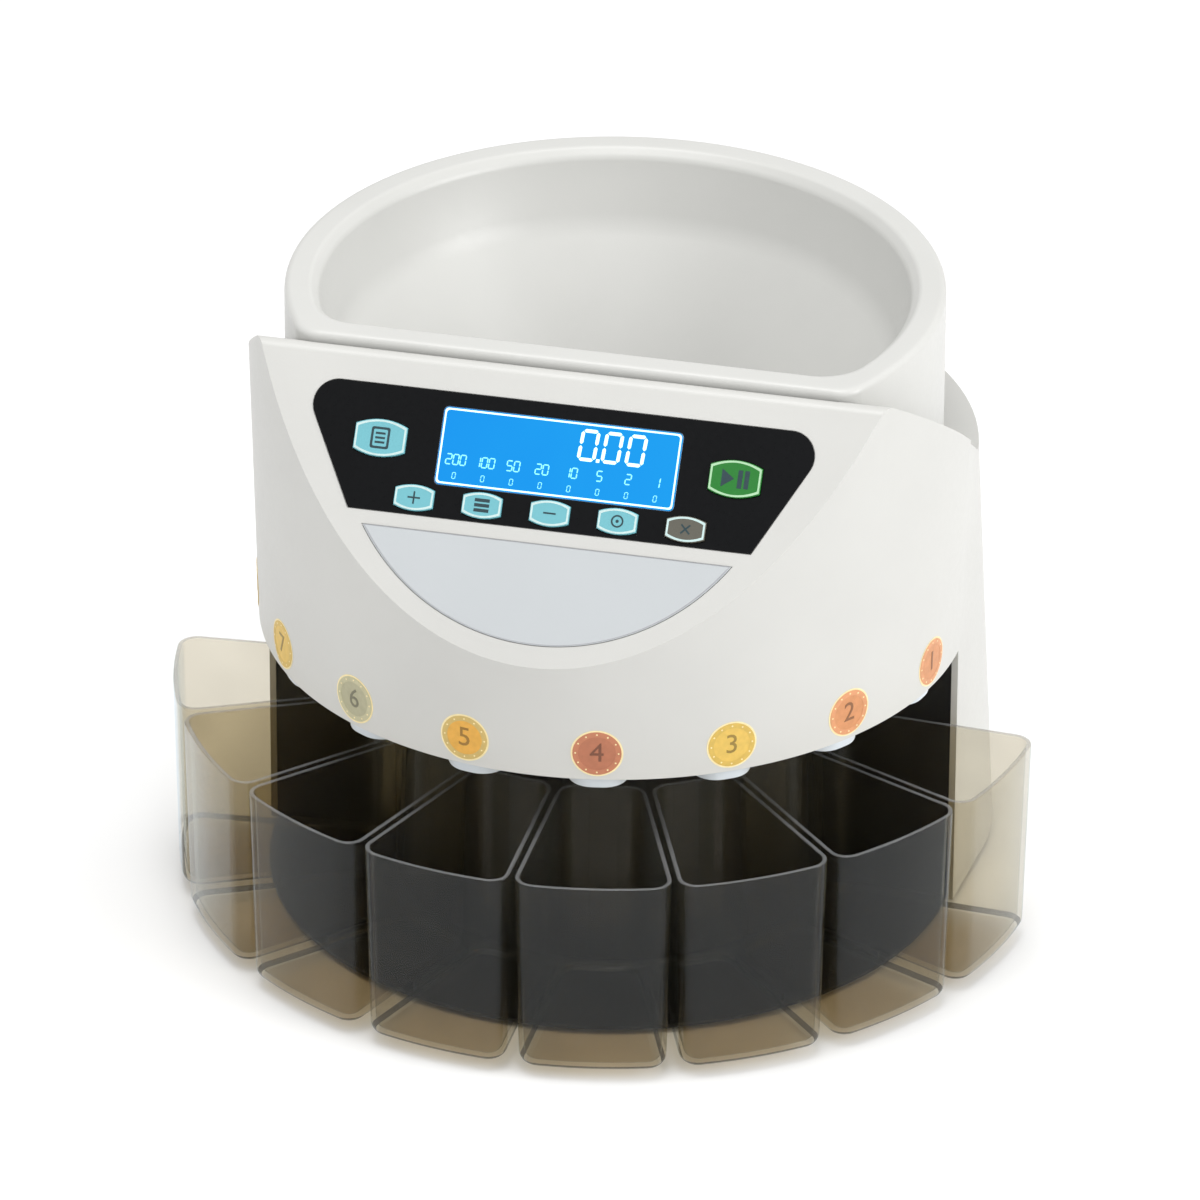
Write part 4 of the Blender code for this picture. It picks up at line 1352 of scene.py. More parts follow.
@dataclass(frozen=True)
class Key:
    """A key: straight sides, top and bottom bowed out, a crowned cap and a printed symbol."""

    name: str
    centre: Point
    size: Point
    mark: Mark
    slot: Slot
    top: float = 1.3 * MM
    depth: float = 3.4 * MM
    barrel: float = 0.16
    line: float = 0.75 * MM

    def outline(self, grow: float = 0.0, centre: Point = (0, 0)) -> Outline:
        """The key's outline, grown or shrunk.

        Args:
            grow: How far it is grown; negative shrinks it.
            centre: Its middle.

        Returns:
            The outline.
        """
        width, height = self.size[0] / 2 + grow, self.size[1] / 2 + grow
        bow = self.size[1] * self.barrel
        steps = 16
        upper = []
        for i in range(steps + 1):
            t = 2 * i / steps - 1
            upper.append((centre[0] + width * t, centre[1] + height - bow * t * t))
        return upper + [(x, 2 * centre[1] - y) for x, y in reversed(upper)]

    def strokes(self) -> list[Outline]:
        """The symbol's outlines, drawn about the key's middle.

        Returns:
            The outlines.
        """
        s = min(self.size) * 0.24
        bar = s * 0.26

        def bars(*places: tuple[float, float, float, float]) -> list[Outline]:
            """Rectangles given as centre and half sizes.

            Args:
                places: The rectangles.

            Returns:
                The outlines.
            """
            return [
                [(x - w, y - h), (x + w, y - h), (x + w, y + h), (x - w, y + h)] for x, y, w, h in places
            ]

        if self.mark is Mark.PLUS:
            a = bar / 2
            plus = [(a, a), (a, s), (-a, s), (-a, a), (-s, a), (-s, -a)]
            return [plus + [(-x, -y) for x, y in plus]]
        if self.mark is Mark.MINUS:
            return bars((0, 0, s, bar / 2))
        if self.mark is Mark.STACK:
            return bars((0, s * 0.8, s * 1.2, bar), (0, 0, s * 1.2, bar), (0, -s * 0.8, s * 1.2, bar))
        if self.mark is Mark.RING:
            return [circle(s, 32), circle(s - bar, 32), circle(bar, 16)]
        if self.mark is Mark.CROSS:
            a = bar / 2
            plus = [(a, a), (a, s), (-a, s), (-a, a), (-s, a), (-s, -a)]
            return [turned_plan(plus + [(-x, -y) for x, y in plus], math.pi / 4)]
        if self.mark is Mark.RUN:
            arrow = [(-s * 1.5, s), (-s * 1.5, -s), (-s * 0.1, 0)]
            return [arrow] + bars((s * 0.55, 0, bar, s), (s * 1.3, 0, bar, s))
        sheet = rounded_box(s * 2.1, s * 2.4, bar)
        hole = rounded_box(s * 2.1 - bar * 2, s * 2.4 - bar * 2, bar * 0.6)
        lines = [(0, s * k, s * 0.55, bar * 0.45) for k in (0.5, 0, -0.5)]
        return [sheet, hole] + bars(*lines)

    def build(self, matrix: Matrix, finish: bpy.types.Material, line: bpy.types.Material,
              ink: bpy.types.Material) -> None:
        """Models the cap, its pale border and its symbol, which move with the key.

        Args:
            matrix: The fascia's place in the sorting axis's frame.
            finish: The cap's material.
            line: The border's material.
            ink: The symbol's material.
        """
        place = matrix @ Matrix.Translation((*self.centre, 0))
        body = f"{self.name}_cap"
        levels = [(0, -self.depth), (0, self.top - 0.45 * MM), (0.15 * MM, self.top - 0.15 * MM),
                  (0.45 * MM, self.top - 0.02 * MM), (1.2 * MM, self.top)]
        rings = [raised(self.outline(-inset), z) for inset, z in levels]
        cap = solid(loft(f"{self.name}_top", rings), place)
        dress(cap, finish, self.slot, body, [self.name], 50)
        rim = plate(
            f"{self.name}_line",
            [self.outline(-0.35 * MM), self.outline(-0.35 * MM - self.line)],
            self.top - 0.1 * MM,
            self.top + 0.05 * MM,
        )
        dress(solid(rim, place), line, self.slot, body)
        symbol = plate(f"{self.name}_symbol", self.strokes(), self.top - 0.05 * MM, self.top + 0.05 * MM)
        dress(solid(symbol, place), ink, self.slot, body)


class Segments:
    """Seven-segment figures."""

    SHAPES = {
        "0": "abcdef", "1": "bc", "2": "abged", "3": "abgcd", "4": "fgbc",
        "5": "afgcd", "6": "afgedc", "7": "abc", "8": "abcdefg", "9": "abcdfg",
    }

    @staticmethod
    def bar(start: Point, end: Point, thick: float) -> Outline:
        """One segment with pointed ends, a little short of its corners.

        Args:
            start: One end.
            end: The other end.
            thick: Its width.

        Returns:
            The outline.
        """
        a, b = Vector(start), Vector(end)
        along = (b - a).normalized()
        side = Vector((-along.y, along.x)) * thick / 2
        a += along * thick * 0.18
        b -= along * thick * 0.18
        tip = along * thick / 2
        corners = [a, a + tip + side, b - tip + side, b, b - tip - side, a + tip - side]
        return [(p.x, p.y) for p in corners]

    @classmethod
    def figure(cls, text: str, centre: Point, height: float, pitch: float) -> list[Outline]:
        """The outlines of a number.

        Args:
            text: Its digits and points.
            centre: The middle of the whole number.
            height: Height of a digit.
            pitch: Distance from one digit to the next.

        Returns:
            One outline a segment.
        """
        half, wide, thick = height / 2, height * 0.27, height * 0.12
        lean = 0.06
        digits = len(text.replace(".", ""))
        outlines = []
        index = 0
        for mark in text:
            x = centre[0] + (index - (digits - 1) / 2) * pitch
            ends = {
                "a": ((-wide, half), (wide, half)), "b": ((wide, half), (wide, 0)),
                "c": ((wide, 0), (wide, -half)), "d": ((-wide, -half), (wide, -half)),
                "e": ((-wide, 0), (-wide, -half)), "f": ((-wide, half), (-wide, 0)),
                "g": ((-wide, 0), (wide, 0)),
            }
            if mark == ".":
                x -= pitch / 2
                d = thick * 0.5
                shapes = [[(-d, -half - d), (d, -half - d), (d, -half + d), (-d, -half + d)]]
            else:
                shapes = [cls.bar(*ends[s], thick) for s in cls.SHAPES[mark]]
                index += 1
            outlines += [[(x + px + py * lean, centre[1] + py) for px, py in shape] for shape in shapes]
        return outlines


@dataclass(frozen=True)
class Fascia:
    """The slanted front: overlay, display, keys and badge, drawn as (across, up the slope)."""

    recess: float = 0.6 * MM
    overlay_top: Point = (107.7 * MM, 11.8 * MM)
    overlay_low: Point = (81.2 * MM, 61.9 * MM)
    overlay_corner: float = 10 * MM
    lcd: Point = (96.4 * MM, 31 * MM)
    lcd_down: float = 33.2 * MM
    badge_half: float = 74.4 * MM
    badge_down: Point = (67.9 * MM, 107.6 * MM)

    @property
    def matrix(self) -> Matrix:
        """The fascia's frame: its origin on the ridge, X across, Y up the slope, Z outward.

        Returns:
            The place.
        """
        press = next(j for j in frame["joints"] if j["name"] == "key_plus_press")
        axis = Vector(press["axis"])
        turn = Matrix.Rotation(math.atan2(axis.y, -axis.z), 4, "X")
        low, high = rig.box("lcd_window")
        middle = (low + high) / 2 - axis_place()
        return Matrix.Translation(middle) @ turn @ Matrix.Translation((0, self.lcd_down, 0))

    def keys(self) -> list[Key]:
        """The keys, each where its CAD node is.

        Returns:
            The keys.
        """
        big, small = (21 * MM, 15 * MM), (16 * MM, 10.5 * MM)
        kinds = [
            ("key_report", big, Mark.SHEET, Slot.TEAL),
            ("key_start_stop", big, Mark.RUN, Slot.GREEN),
            ("key_plus", small, Mark.PLUS, Slot.TEAL),
            ("key_batch", small, Mark.STACK, Slot.TEAL),
            ("key_minus", small, Mark.MINUS, Slot.TEAL),
            ("key_set", small, Mark.RING, Slot.TEAL),
            ("key_clear", small, Mark.CROSS, Slot.GREY),
        ]
        back = self.matrix.inverted()
        made = []
        for name, size, mark, slot in kinds:
            low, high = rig.box(name)
            middle = back @ ((low + high) / 2 - axis_place())
            made.append(Key(name, (middle.x, middle.y), size, mark, slot))
        return made

    def overlay(self, grow: float = 0.0) -> Outline:
        """The overlay: a wide trapezium with round top corners and eased lower ones.

        Args:
            grow: How far it is grown; negative shrinks it.

        Returns:
            The outline.
        """
        (top_x, top_down), (low_x, low_down) = self.overlay_top, self.overlay_low
        lean = math.degrees(math.atan2(low_down - top_down, top_x - low_x))
        r = self.overlay_corner
        back = r / math.tan(math.radians(lean) / 2)
        side = arc(r + grow, 90, lean - 90, 21, (top_x - back, -top_down - r))
        right = side + [(low_x + grow, -low_down - grow)]
        return right + [(-x, y) for x, y in reversed(right)]

    def badge(self, grow: float = 0.0) -> Outline:
        """The badge plate: straight across the top and bowed below.

        Args:
            grow: How far it is grown; negative shrinks it.

        Returns:
            The outline.
        """
        high, low = self.badge_down
        sag = low - high
        radius = (self.badge_half**2 + sag**2) / (2 * sag)
        reach = math.degrees(math.asin(self.badge_half / radius))
        outline = arc(radius + grow, -90 - reach, -90 + reach, 65, (0, radius - low))
        if grow > 0:
            wide = self.badge_half + 2 * grow
            outline += [(wide, grow - high), (-wide, grow - high)]
        return outline

    def layer(self, name: str, outlines: list[Outline], low: float, high: float,
              finish: bpy.types.Material, slot: Slot, replaces: Sequence[str] = ()) -> None:
        """A thin flat piece on the fascia.

        Args:
            name: The piece's name.
            outlines: Its outline and holes.
            low: Its underside, from the fascia's face.
            high: Its top.
            finish: Its material.
            slot: The record's slot for it.
            replaces: CAD nodes that it stands for.
        """
        piece = solid(plate(name, outlines, low, high), self.matrix)
        if high - low > 0.3 * MM:
            soften(piece, 0.12 * MM, 2, 60)
        dress(piece, finish, slot, replaces=replaces)

    def build(self, finishes: Finishes) -> None:
        """Models the overlay, display, keys and badge.

        Args:
            finishes: The finishes.
        """
        low, high = GAP - self.recess, GAP
        window = rounded_box(self.lcd[0] + 2 * GAP, self.lcd[1] + 2 * GAP, 2 * MM, (0, -self.lcd_down))
        holes = [key.outline(GAP, key.centre) for key in self.keys()]
        self.layer("overlay_film", [self.overlay(), window, *holes], low, high, finishes.overlay,
                   Slot.OVERLAY, ["control_overlay"])
        self.layer("badge_face", [self.badge()], low, high, finishes.badge, Slot.BADGE, ["badge_plate"])
        inner = self.badge_line()
        self.layer("badge_border", inner, high - 0.02 * MM, high + 0.03 * MM, finishes.grey_line, Slot.BADGE)
        caps = {Slot.TEAL: finishes.key_teal, Slot.GREEN: finishes.key_green, Slot.GREY: finishes.key_grey}
        for key in self.keys():
            line = finishes.green_ink if key.slot is Slot.GREEN else finishes.pale_ink
            key.build(self.matrix, caps[key.slot], line, finishes.dark_ink)
        self.build_display(finishes, low, high)
        refinish(finishes.dark_fitting, "lcd_module")
        log.info("fascia: overlay, badge, display and %d keys", len(self.keys()))

    def badge_line(self) -> list[Outline]:
        """The printed line round the badge's edge.

        Returns:
            The outlines.
        """
        edge = self.badge(-0.25 * MM)
        x, y = edge[-1]
        shrunk = [(px * (1 - 0.7 * MM / x), (py + y) / 2 + (py - y) / 2 * 0.985) for px, py in edge]
        centre = y - 0.35 * MM
        return [edge, [(px, min(py, centre)) for px, py in shrunk]]

    def build_display(self, finishes: Finishes, low: float, high: float) -> None:
        """The lit window, its border line and its figures.

        Args:
            finishes: The finishes.
            low: The lower end.
            high: The upper end.
        """
        width, height = self.lcd
        middle = (0, -self.lcd_down)
        glass = rounded_box(width, height, 2 * MM, middle)
        self.layer("display_window", [glass], low, high, finishes.display, Slot.LCD, ["lcd_window"])
        edge = [
            rounded_box(width - k * MM, height - k * MM, 1.4 * MM, middle) for k in (0.9, 2.2)
        ]
        self.layer("display_border", edge, high - 0.02 * MM, high + 0.04 * MM, finishes.pixels, Slot.LCD)
        left, top = -width / 2, -self.lcd_down + height / 2
        total = Segments.figure("0.00", (left + 69 * MM, top - 9.0 * MM), 11.4 * MM, 9.6 * MM)
        self.layer("display_total", total, high - 0.02 * MM, high + 0.04 * MM, finishes.pixels, Slot.LCD)
        rows = []
        for i, value in enumerate(("200", "100", "50", "20", "10", "5", "2", "1")):
            x = left + 7.4 * MM + i * 11.6 * MM
            rows += Segments.figure(value, (x, top - 20.6 * MM), 4.0 * MM, 2.9 * MM)
            rows += Segments.figure("0", (x, top - 27.0 * MM), 2.4 * MM, 2 * MM)
        self.layer("display_counts", rows, high - 0.02 * MM, high + 0.04 * MM, finishes.dim_pixels, Slot.LCD)


# --- cups, chutes and stickers -------------------------------------------------------------


@dataclass(frozen=True)
class CupRing:
    """Eight smoked cups in an arc, with the chute that feeds each one."""

    radius: float = 178.6 * MM
    inner: float = 95 * MM
    foot_z: float = 4.6 * MM
    wall: float = 2 * MM
    corner: float = 8 * MM
    floor_r: float = 5 * MM
    chute_r: float = 126 * MM
    chute: Point = (24 * MM, 20 * MM)
    chute_wall: float = 1.6 * MM
    flare: float = 4.5 * MM
    flare_z: Point = (117 * MM, 124 * MM)

    def plan(self, r_out: float, r_in: float, side_gap: float, corner: float) -> Outline:
        """A cup's outline seen from above, opening away from the axis along -Y.

        Args:
            r_out: Outer radius.
            r_in: Inner radius.
            side_gap: The gap left at each side.
            corner: Radius of its corners.

        Returns:
            The outline.
        """
        half = PITCH / 2
        lean = math.degrees(half)
        outer = math.degrees(half - math.asin((side_gap + corner) / (r_out - corner)))
        inner = math.degrees(half - math.asin((side_gap + corner) / (r_in + corner)))
        upper = arc(r_out, 0, outer, 9)[1:-1]
        upper += arc(corner, outer, lean + 90, 13, polar(r_out - corner, outer))
        upper += arc(corner, lean + 90, inner + 180, 9, polar(r_in + corner, inner))
        upper += arc(r_in, inner, 0, 6)[1:-1]
        lower = [(x, -y) for x, y in reversed(upper)]
        return turned_plan([(r_out, 0)] + upper + [(r_in, 0)] + lower, -math.pi / 2)

    def ring(self, t: float, z: float, inset: float = 0.0) -> list[tuple[float, float, float]]:
        """One level of a cup; t runs from 0 at its floor to 1 at its rim, as its walls open out.

        Args:
            t: How far along it is, from 0 to 1.
            z: The level's height.
            inset: How far the outline is drawn in.

        Returns:
            The level's points.
        """
        r_out = blend(self.radius - 1.5 * MM, self.radius, t) - inset
        r_in = blend(97.5 * MM, self.inner, t) + inset
        side_gap = blend(2.4 * MM, 1 * MM, t) + inset
        return raised(self.plan(r_out, r_in, side_gap, max(self.corner - inset, 2.5 * MM)), z)

    def rounding(self, inset: float, low: float) -> list[list[tuple[float, float, float]]]:
        """The round between floor and wall, from the floor up.

        Args:
            inset: How far the outline is drawn in.
            low: The lower end.

        Returns:
            The rings.
        """
        made = []
        steps = 6
        radius = self.floor_r - inset * 0.5
        for k in range(steps + 1):
            turn = math.pi / 2 * k / steps
            drawn_in = radius * (1 - math.sin(turn)) * 0.8
            rise = radius * (1 - math.cos(turn))
            made.append(self.ring(0.05 * k / steps, low + rise, inset + drawn_in))
        return made

    def build(self, finishes: Finishes) -> None:
        """Models the cups and the chutes.

        Args:
            finishes: The finishes.
        """
        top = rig.box("coin_cup_4")[1].z
        lip = 0.55 * MM
        outside = self.rounding(0, self.foot_z)
        rim = [(1, top - lip, 0), (1, top - lip * 0.3, lip * 0.3), (1, top, lip)]
        rim += [(1, top, self.wall - lip), (1, top - lip * 0.3, self.wall - lip * 0.3)]
        rim += [(1, top - lip, self.wall)]
        inside = list(reversed(self.rounding(self.wall, self.foot_z + self.wall)))
        rings = outside + [self.ring(*level) for level in rim] + inside
        spans = len(rings[0])
        for number, angle in enumerate(cup_angles(), 1):
            place = Matrix.Rotation(angle, 4, "Z")
            mesh = loft(f"smoked_cup_{number}", rings)
            mesh.transform(place)
            cup = solid(mesh)
            for finish in (finishes.cup_wall, finishes.cup_rim, finishes.cup_floor, finishes.cup_edge):
                cup.data.materials.append(finish)
            for face in cup.data.polygons:
                strip = face.index // spans
                # Faces of the rounded top lip take the lighter rim finish, a painted highlight.
                if len(outside) <= strip - 1 < len(outside) + len(rim) - 3:
                    face.material_index = 1
                # The floor faces take the darker floor finish, painted shade.
                elif strip >= len(rings) - 1 or not strip:
                    face.material_index = 2
                # A band of the outer foot rounding takes the dark foot finish: a painted shade line.
                elif strip in (2, 3):
                    face.material_index = 3
            dress(cup, finishes.cup_wall, Slot.SMOKE, f"cup_{number}", [f"coin_cup_{number}"], 60)
            self.build_chute(number, place, finishes)
        log.info("cups: %d, rim at %.1f mm", CUPS, top / MM)

    def chute_ring(self, inset: float, z: float) -> list[tuple[float, float, float]]:
        """One level of a chute; its outer side flares out and rounds off towards the mouth.

        Args:
            inset: How far the outline is drawn in.
            z: The level's height.

        Returns:
            The level's points.
        """
        mouth, neck = self.flare_z
        t = min(max((neck - z) / (neck - mouth), 0), 1)
        t = t * t * (3 - 2 * t)
        half, depth = self.chute[0] / 2 - inset, self.chute[1] / 2 - inset
        outline = []
        for sx, sy, start in ((1, 1, 0), (-1, 1, 90), (-1, -1, 180), (1, -1, 270)):
            share = t if sy < 0 else 0
            radius = blend(6 * MM, 10 * MM, share) - inset
            reach = depth + self.flare * share
            centre = (sx * (half - radius), sy * (reach - radius) - self.chute_r)
            outline += arc(radius, start, start + 90, 9, centre)
        return raised(outline, z)

    def build_chute(self, number: int, place: Matrix, finishes: Finishes) -> None:
        """One chute: a tube with a flared mouth and a softly rounded lip.

        Args:
            number: Which one, from 1.
            place: Its place.
            finishes: The finishes.
        """
        low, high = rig.box(f"coin_chute_{number}")
        w, lip = self.chute_wall, 0.5 * MM
        mouth, neck = self.flare_z
        falls = [high.z] + [blend(neck, mouth, k / 6) for k in range(7)]
        section = [(0, z) for z in falls]
        section += [(0, low.z + lip), (lip * 0.3, low.z + lip * 0.3), (lip, low.z)]
        section += [(w - lip, low.z), (w - lip * 0.3, low.z + lip * 0.3), (w, low.z + lip)]
        section += [(w, z) for z in reversed(falls)]
        rings = [self.chute_ring(inset, z) for inset, z in section]
        mesh = loft(f"chute_tube_{number}", rings, ends=False)
        mesh.transform(place)
        tube = solid(mesh)
        dress(tube, finishes.chute, Slot.CHUTE, replaces=[f"coin_chute_{number}"])


class Strike(Enum):
    """The look of each coin picture: (outer colour, inner colour)."""

    GOLD = ((0.62, 0.42, 0.09), (0.70, 0.47, 0.10))
    PALE = ((0.50, 0.47, 0.30), (0.40, 0.38, 0.25))
    TWO_TONE = ((0.58, 0.42, 0.14), (0.72, 0.38, 0.06))
    COPPER = ((0.50, 0.19, 0.10), (0.44, 0.16, 0.085))
    ORANGE = ((0.66, 0.30, 0.14), (0.60, 0.26, 0.11))


@dataclass(frozen=True)
class Stickers:
    """Round coin pictures on the skirt, one over each cup: a rim, a field, beads and a number."""

    radius: float = 10.4 * MM
    height: float = 131 * MM
    thick: float = 0.12 * MM
    values: tuple[str, ...] = ("8", "7", "6", "5", "4", "3", "2", "1")
    strikes: tuple[Strike, ...] = (
        Strike.GOLD, Strike.GOLD, Strike.PALE, Strike.TWO_TONE,
        Strike.COPPER, Strike.GOLD, Strike.ORANGE, Strike.ORANGE,
    )

    def wrapped(self, mesh: bpy.types.Mesh, angle: float, housing: Housing) -> None:
        """Bends a flat mesh round the skirt; its X runs across, Y up and Z out.

        Args:
            mesh: The mesh to use.
            angle: The cup's direction, in radians from straight ahead.
            housing: The housing that it lies on.
        """
        for v in mesh.vertices:
            z = self.height + v.co.y
            radius = housing.front_radius(z) + v.co.z
            turn = angle + v.co.x / housing.skirt_r
            v.co = (radius * math.sin(turn), -radius * math.cos(turn), z)

    def disc(self, name: str, outer: float, inner: float, low: float, high: float) -> bpy.types.Mesh:
        """A flat disc, or a ring if inner is above 0, cut into narrow rings so that it bends.

        Args:
            name: Its name.
            outer: Outer radius.
            inner: Inner radius.
            low: The lower end.
            high: The upper end.

        Returns:
            The mesh.
        """
        steps = 48
        count = 7
        least = max(inner, 0.1 * MM)
        radii = [blend(least, outer, i / (count - 1)) for i in range(count)]
        profile = [(r, high) for r in radii] + [(r, low) for r in reversed(radii)]
        if not inner:
            profile = [(0, high)] + profile + [(0, low)]
        return turned(name, profile, steps)

    def build(self, finishes: Finishes, housing: Housing) -> None:
        """Models the eight stickers.

        Args:
            finishes: The finishes.
            housing: The housing that it lies on.
        """
        inks: dict[Strike, list[bpy.types.Material]] = {}
        for strike in Strike:
            name = strike.name.lower()
            outer, inner = strike.value
            deep = tuple(c * 0.42 for c in inner)
            inks[strike] = [
                Printed(f"{name}_coin_{part}", colour, 0.4, 0.2, relief=0.06 * MM).build()
                for part, colour in (("rim", outer), ("field", inner), ("figure", deep))
            ]
        for number, (angle, value, strike) in enumerate(zip(cup_angles(), self.values, self.strikes), 1):
            rim, field, shadow = inks[strike]
            r, t = self.radius, self.thick
            parts = [
                (self.disc("backing", r, 0, 0.02 * MM, t), finishes.foil),
                (self.disc("rim", r * 0.93, r * 0.72, t * 0.9, t * 2.2), rim),
                (self.disc("field", r * 0.72, 0, t * 0.9, t * 1.6), field),
                (self.figure(value, t), shadow),
            ]
            beads = [circle(r * 0.035, 8, polar(r * 0.82, i * 30)) for i in range(12)]
            parts.append((plate("beads", beads, t * 2.1, t * 2.7), finishes.foil))
            sticker = self.joined(f"coin_picture_{number}", parts, angle, housing)
            dress(sticker, finishes.foil, Slot.BADGE)
        log.info("stickers: %d", CUPS)

    def figure(self, value: str, t: float) -> bpy.types.Mesh:
        """The number in the middle of a picture.

        Args:
            value: The number.
            t: The sticker's thickness, which sets the figure's depth and height.

        Returns:
            The mesh.
        """
        text = bpy.data.curves.new("figure", "FONT")
        text.body = value
        text.size = self.radius * 1.15
        text.align_x, text.align_y = "CENTER", "CENTER"
        text.extrude = t * 0.5
        text.resolution_u = 3
        source = bpy.data.objects.new("figure", text)
        bpy.context.scene.collection.objects.link(source)
        mesh = bpy.data.meshes.new_from_object(source)
        bpy.data.objects.remove(source)
        bpy.data.curves.remove(text)
        mesh.materials.clear()
        mesh.transform(Matrix.Translation((0, 0, t * 2)))
        bm = bmesh.new()
        bm.from_mesh(mesh)
        bmesh.ops.remove_doubles(bm, verts=bm.verts, dist=0.001 * MM)
        bm.to_mesh(mesh)
        bm.free()
        return mesh

    def joined(self, name: str, parts: Sequence[tuple[bpy.types.Mesh, bpy.types.Material]],
               angle: float, housing: Housing) -> bpy.types.Object:
        """One piece from flat meshes, bent round the skirt.

        Args:
            name: The piece's name.
            parts: Each mesh and its material.
            angle: The cup's direction.
            housing: The shell it sits on.

        Returns:
            The piece.
        """
        bm = bmesh.new()
        made = bpy.data.meshes.new(name)
        for index, (mesh, finish) in enumerate(parts):
            self.wrapped(mesh, angle, housing)
            first = len(bm.faces)
            bm.from_mesh(mesh)
            bm.faces.ensure_lookup_table()
            for face in bm.faces[first:]:
                face.material_index = index
            bpy.data.meshes.remove(mesh)
            made.materials.append(finish)
        bm.to_mesh(made)
        bm.free()
        return solid(made)


# --- base, sorting unit, drive -------------------------------------------------------------


@dataclass(frozen=True)
class Base:
    """The black tray, the drum behind the cups, the plate under the ring, and the feet."""

    def build(self, finishes: Finishes) -> None:
        """Finishes the CAD nodes, whose shapes are right.

        Args:
            finishes: The finishes.
        """
        refinish(finishes.black, "base_tray", "bay_wall", "chassis_plate")
        refinish(finishes.rubber, *[f"rubber_foot_{n}" for n in range(1, 5)])
        log.info("base: tray, drum, plate and feet")


@dataclass(frozen=True)
class SortingUnit:
    """What turns and sorts: the dished disc, the rubber sweeper and its cap, the ring and rail."""

    arms: int = 8
    arm_tip: float = 2.6 * MM
    hub: float = 13 * MM
    bore: float = 5.3 * MM

    def sweeper(self, reach: float) -> Outline:
        """The sweeper's outline: a hub with straight arms that have round ends.

        Args:
            reach: How far the arms reach.

        Returns:
            The outline.
        """
        outline = []
        for i in range(self.arms):
            arm = [(-4 * MM, -self.hub), (-self.arm_tip, self.arm_tip - reach)]
            arm += arc(self.arm_tip, 180, 360, 9, (0, self.arm_tip - reach))[1:-1]
            arm += [(self.arm_tip, self.arm_tip - reach), (4 * MM, -self.hub)]
            outline += turned_plan(arm, i * math.tau / self.arms)
        return outline

    def build(self, finishes: Finishes) -> None:
        """Models the disc, sweeper and cap, and finishes the rest.

        Args:
            finishes: The finishes.
        """
        low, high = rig.box("sort_disc")
        radius = (high.x - low.x) / 2
        top = high.z
        profile = [(self.bore, top), (radius - 4 * MM, top)]
        for k in range(5):
            r = radius - (4 + 12 * (5 - k)) * MM
            if r > self.bore + 8 * MM:
                profile.insert(-1, (r, top))
                profile.insert(-1, (r + 1.2 * MM, top - 0.5 * MM))
                profile.insert(-1, (r + 3.2 * MM, top - 0.5 * MM))
                profile.insert(-1, (r + 4.4 * MM, top))
        profile += [(radius, top - MM), (radius, low.z), (self.bore, low.z)]
        disc = solid(turned("turning_disc", profile, 96))
        dress(disc, finishes.aluminium, Slot.ALUMINIUM, Body.ROTOR.value, ["sort_disc"], 30)

        low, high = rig.box("sweep_spider")
        reach = (high.x - low.x) / 2
        outlines = [self.sweeper(reach), circle(self.bore, 48)]
        spider = solid(plate("sweeper_arms", outlines, low.z, high.z))
        soften(spider, 0.5 * MM, 2, 60)
        dress(spider, finishes.rubber, Slot.RUBBER, Body.ROTOR.value, ["sweep_spider"])

        low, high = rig.box("disc_cap")
        r, z, h = (high.x - low.x) / 2, low.z, high.z - low.z
        dome = eased([(0, z + h), (4.6 * MM, z + h), (9.2 * MM, z + h * 0.5), (r, z + 1.2 * MM), (r, z)],
                     [0, 2.0 * MM, 1.0 * MM, 0.5 * MM, 0], 8)
        cap = solid(turned("disc_nut", dome + [(0, z)], 64))
        for i in range(6):
            x, y = polar(r * 1.08, i * 60)
            groove = turned("groove", [(0, h), (3 * MM, h), (3 * MM, -h), (0, -h)], 24)
            carve(cap, groove, Matrix.Translation((x, y, z + h)))
        dress(cap, finishes.dark_fitting, Slot.BLACK, Body.ROTOR.value, ["disc_cap"])
        refinish(finishes.turned_steel, "sort_ring", "spindle")
        refinish(finishes.chute, "rail_ring")
        refinish(finishes.aluminium, "bearing_block", edge=0.3 * MM)
        log.info("sorting unit: disc radius %.1f mm", radius / MM)


@dataclass(frozen=True)
class Drive:
    """The motor and the gear pair that turn the spindle."""

    def build(self, finishes: Finishes) -> None:
        """Finishes the gears and the motor.

        Args:
            finishes: The finishes.
        """
        refinish(finishes.nylon, "drive_gear", edge=0.2 * MM)
        refinish(finishes.steel, "motor_pinion", edge=0.15 * MM)
        refinish(finishes.plated, "drive_motor", edge=0.4 * MM)
        log.info("drive: motor, pinion and gear")


# --- electronics and rear ------------------------------------------------------------------


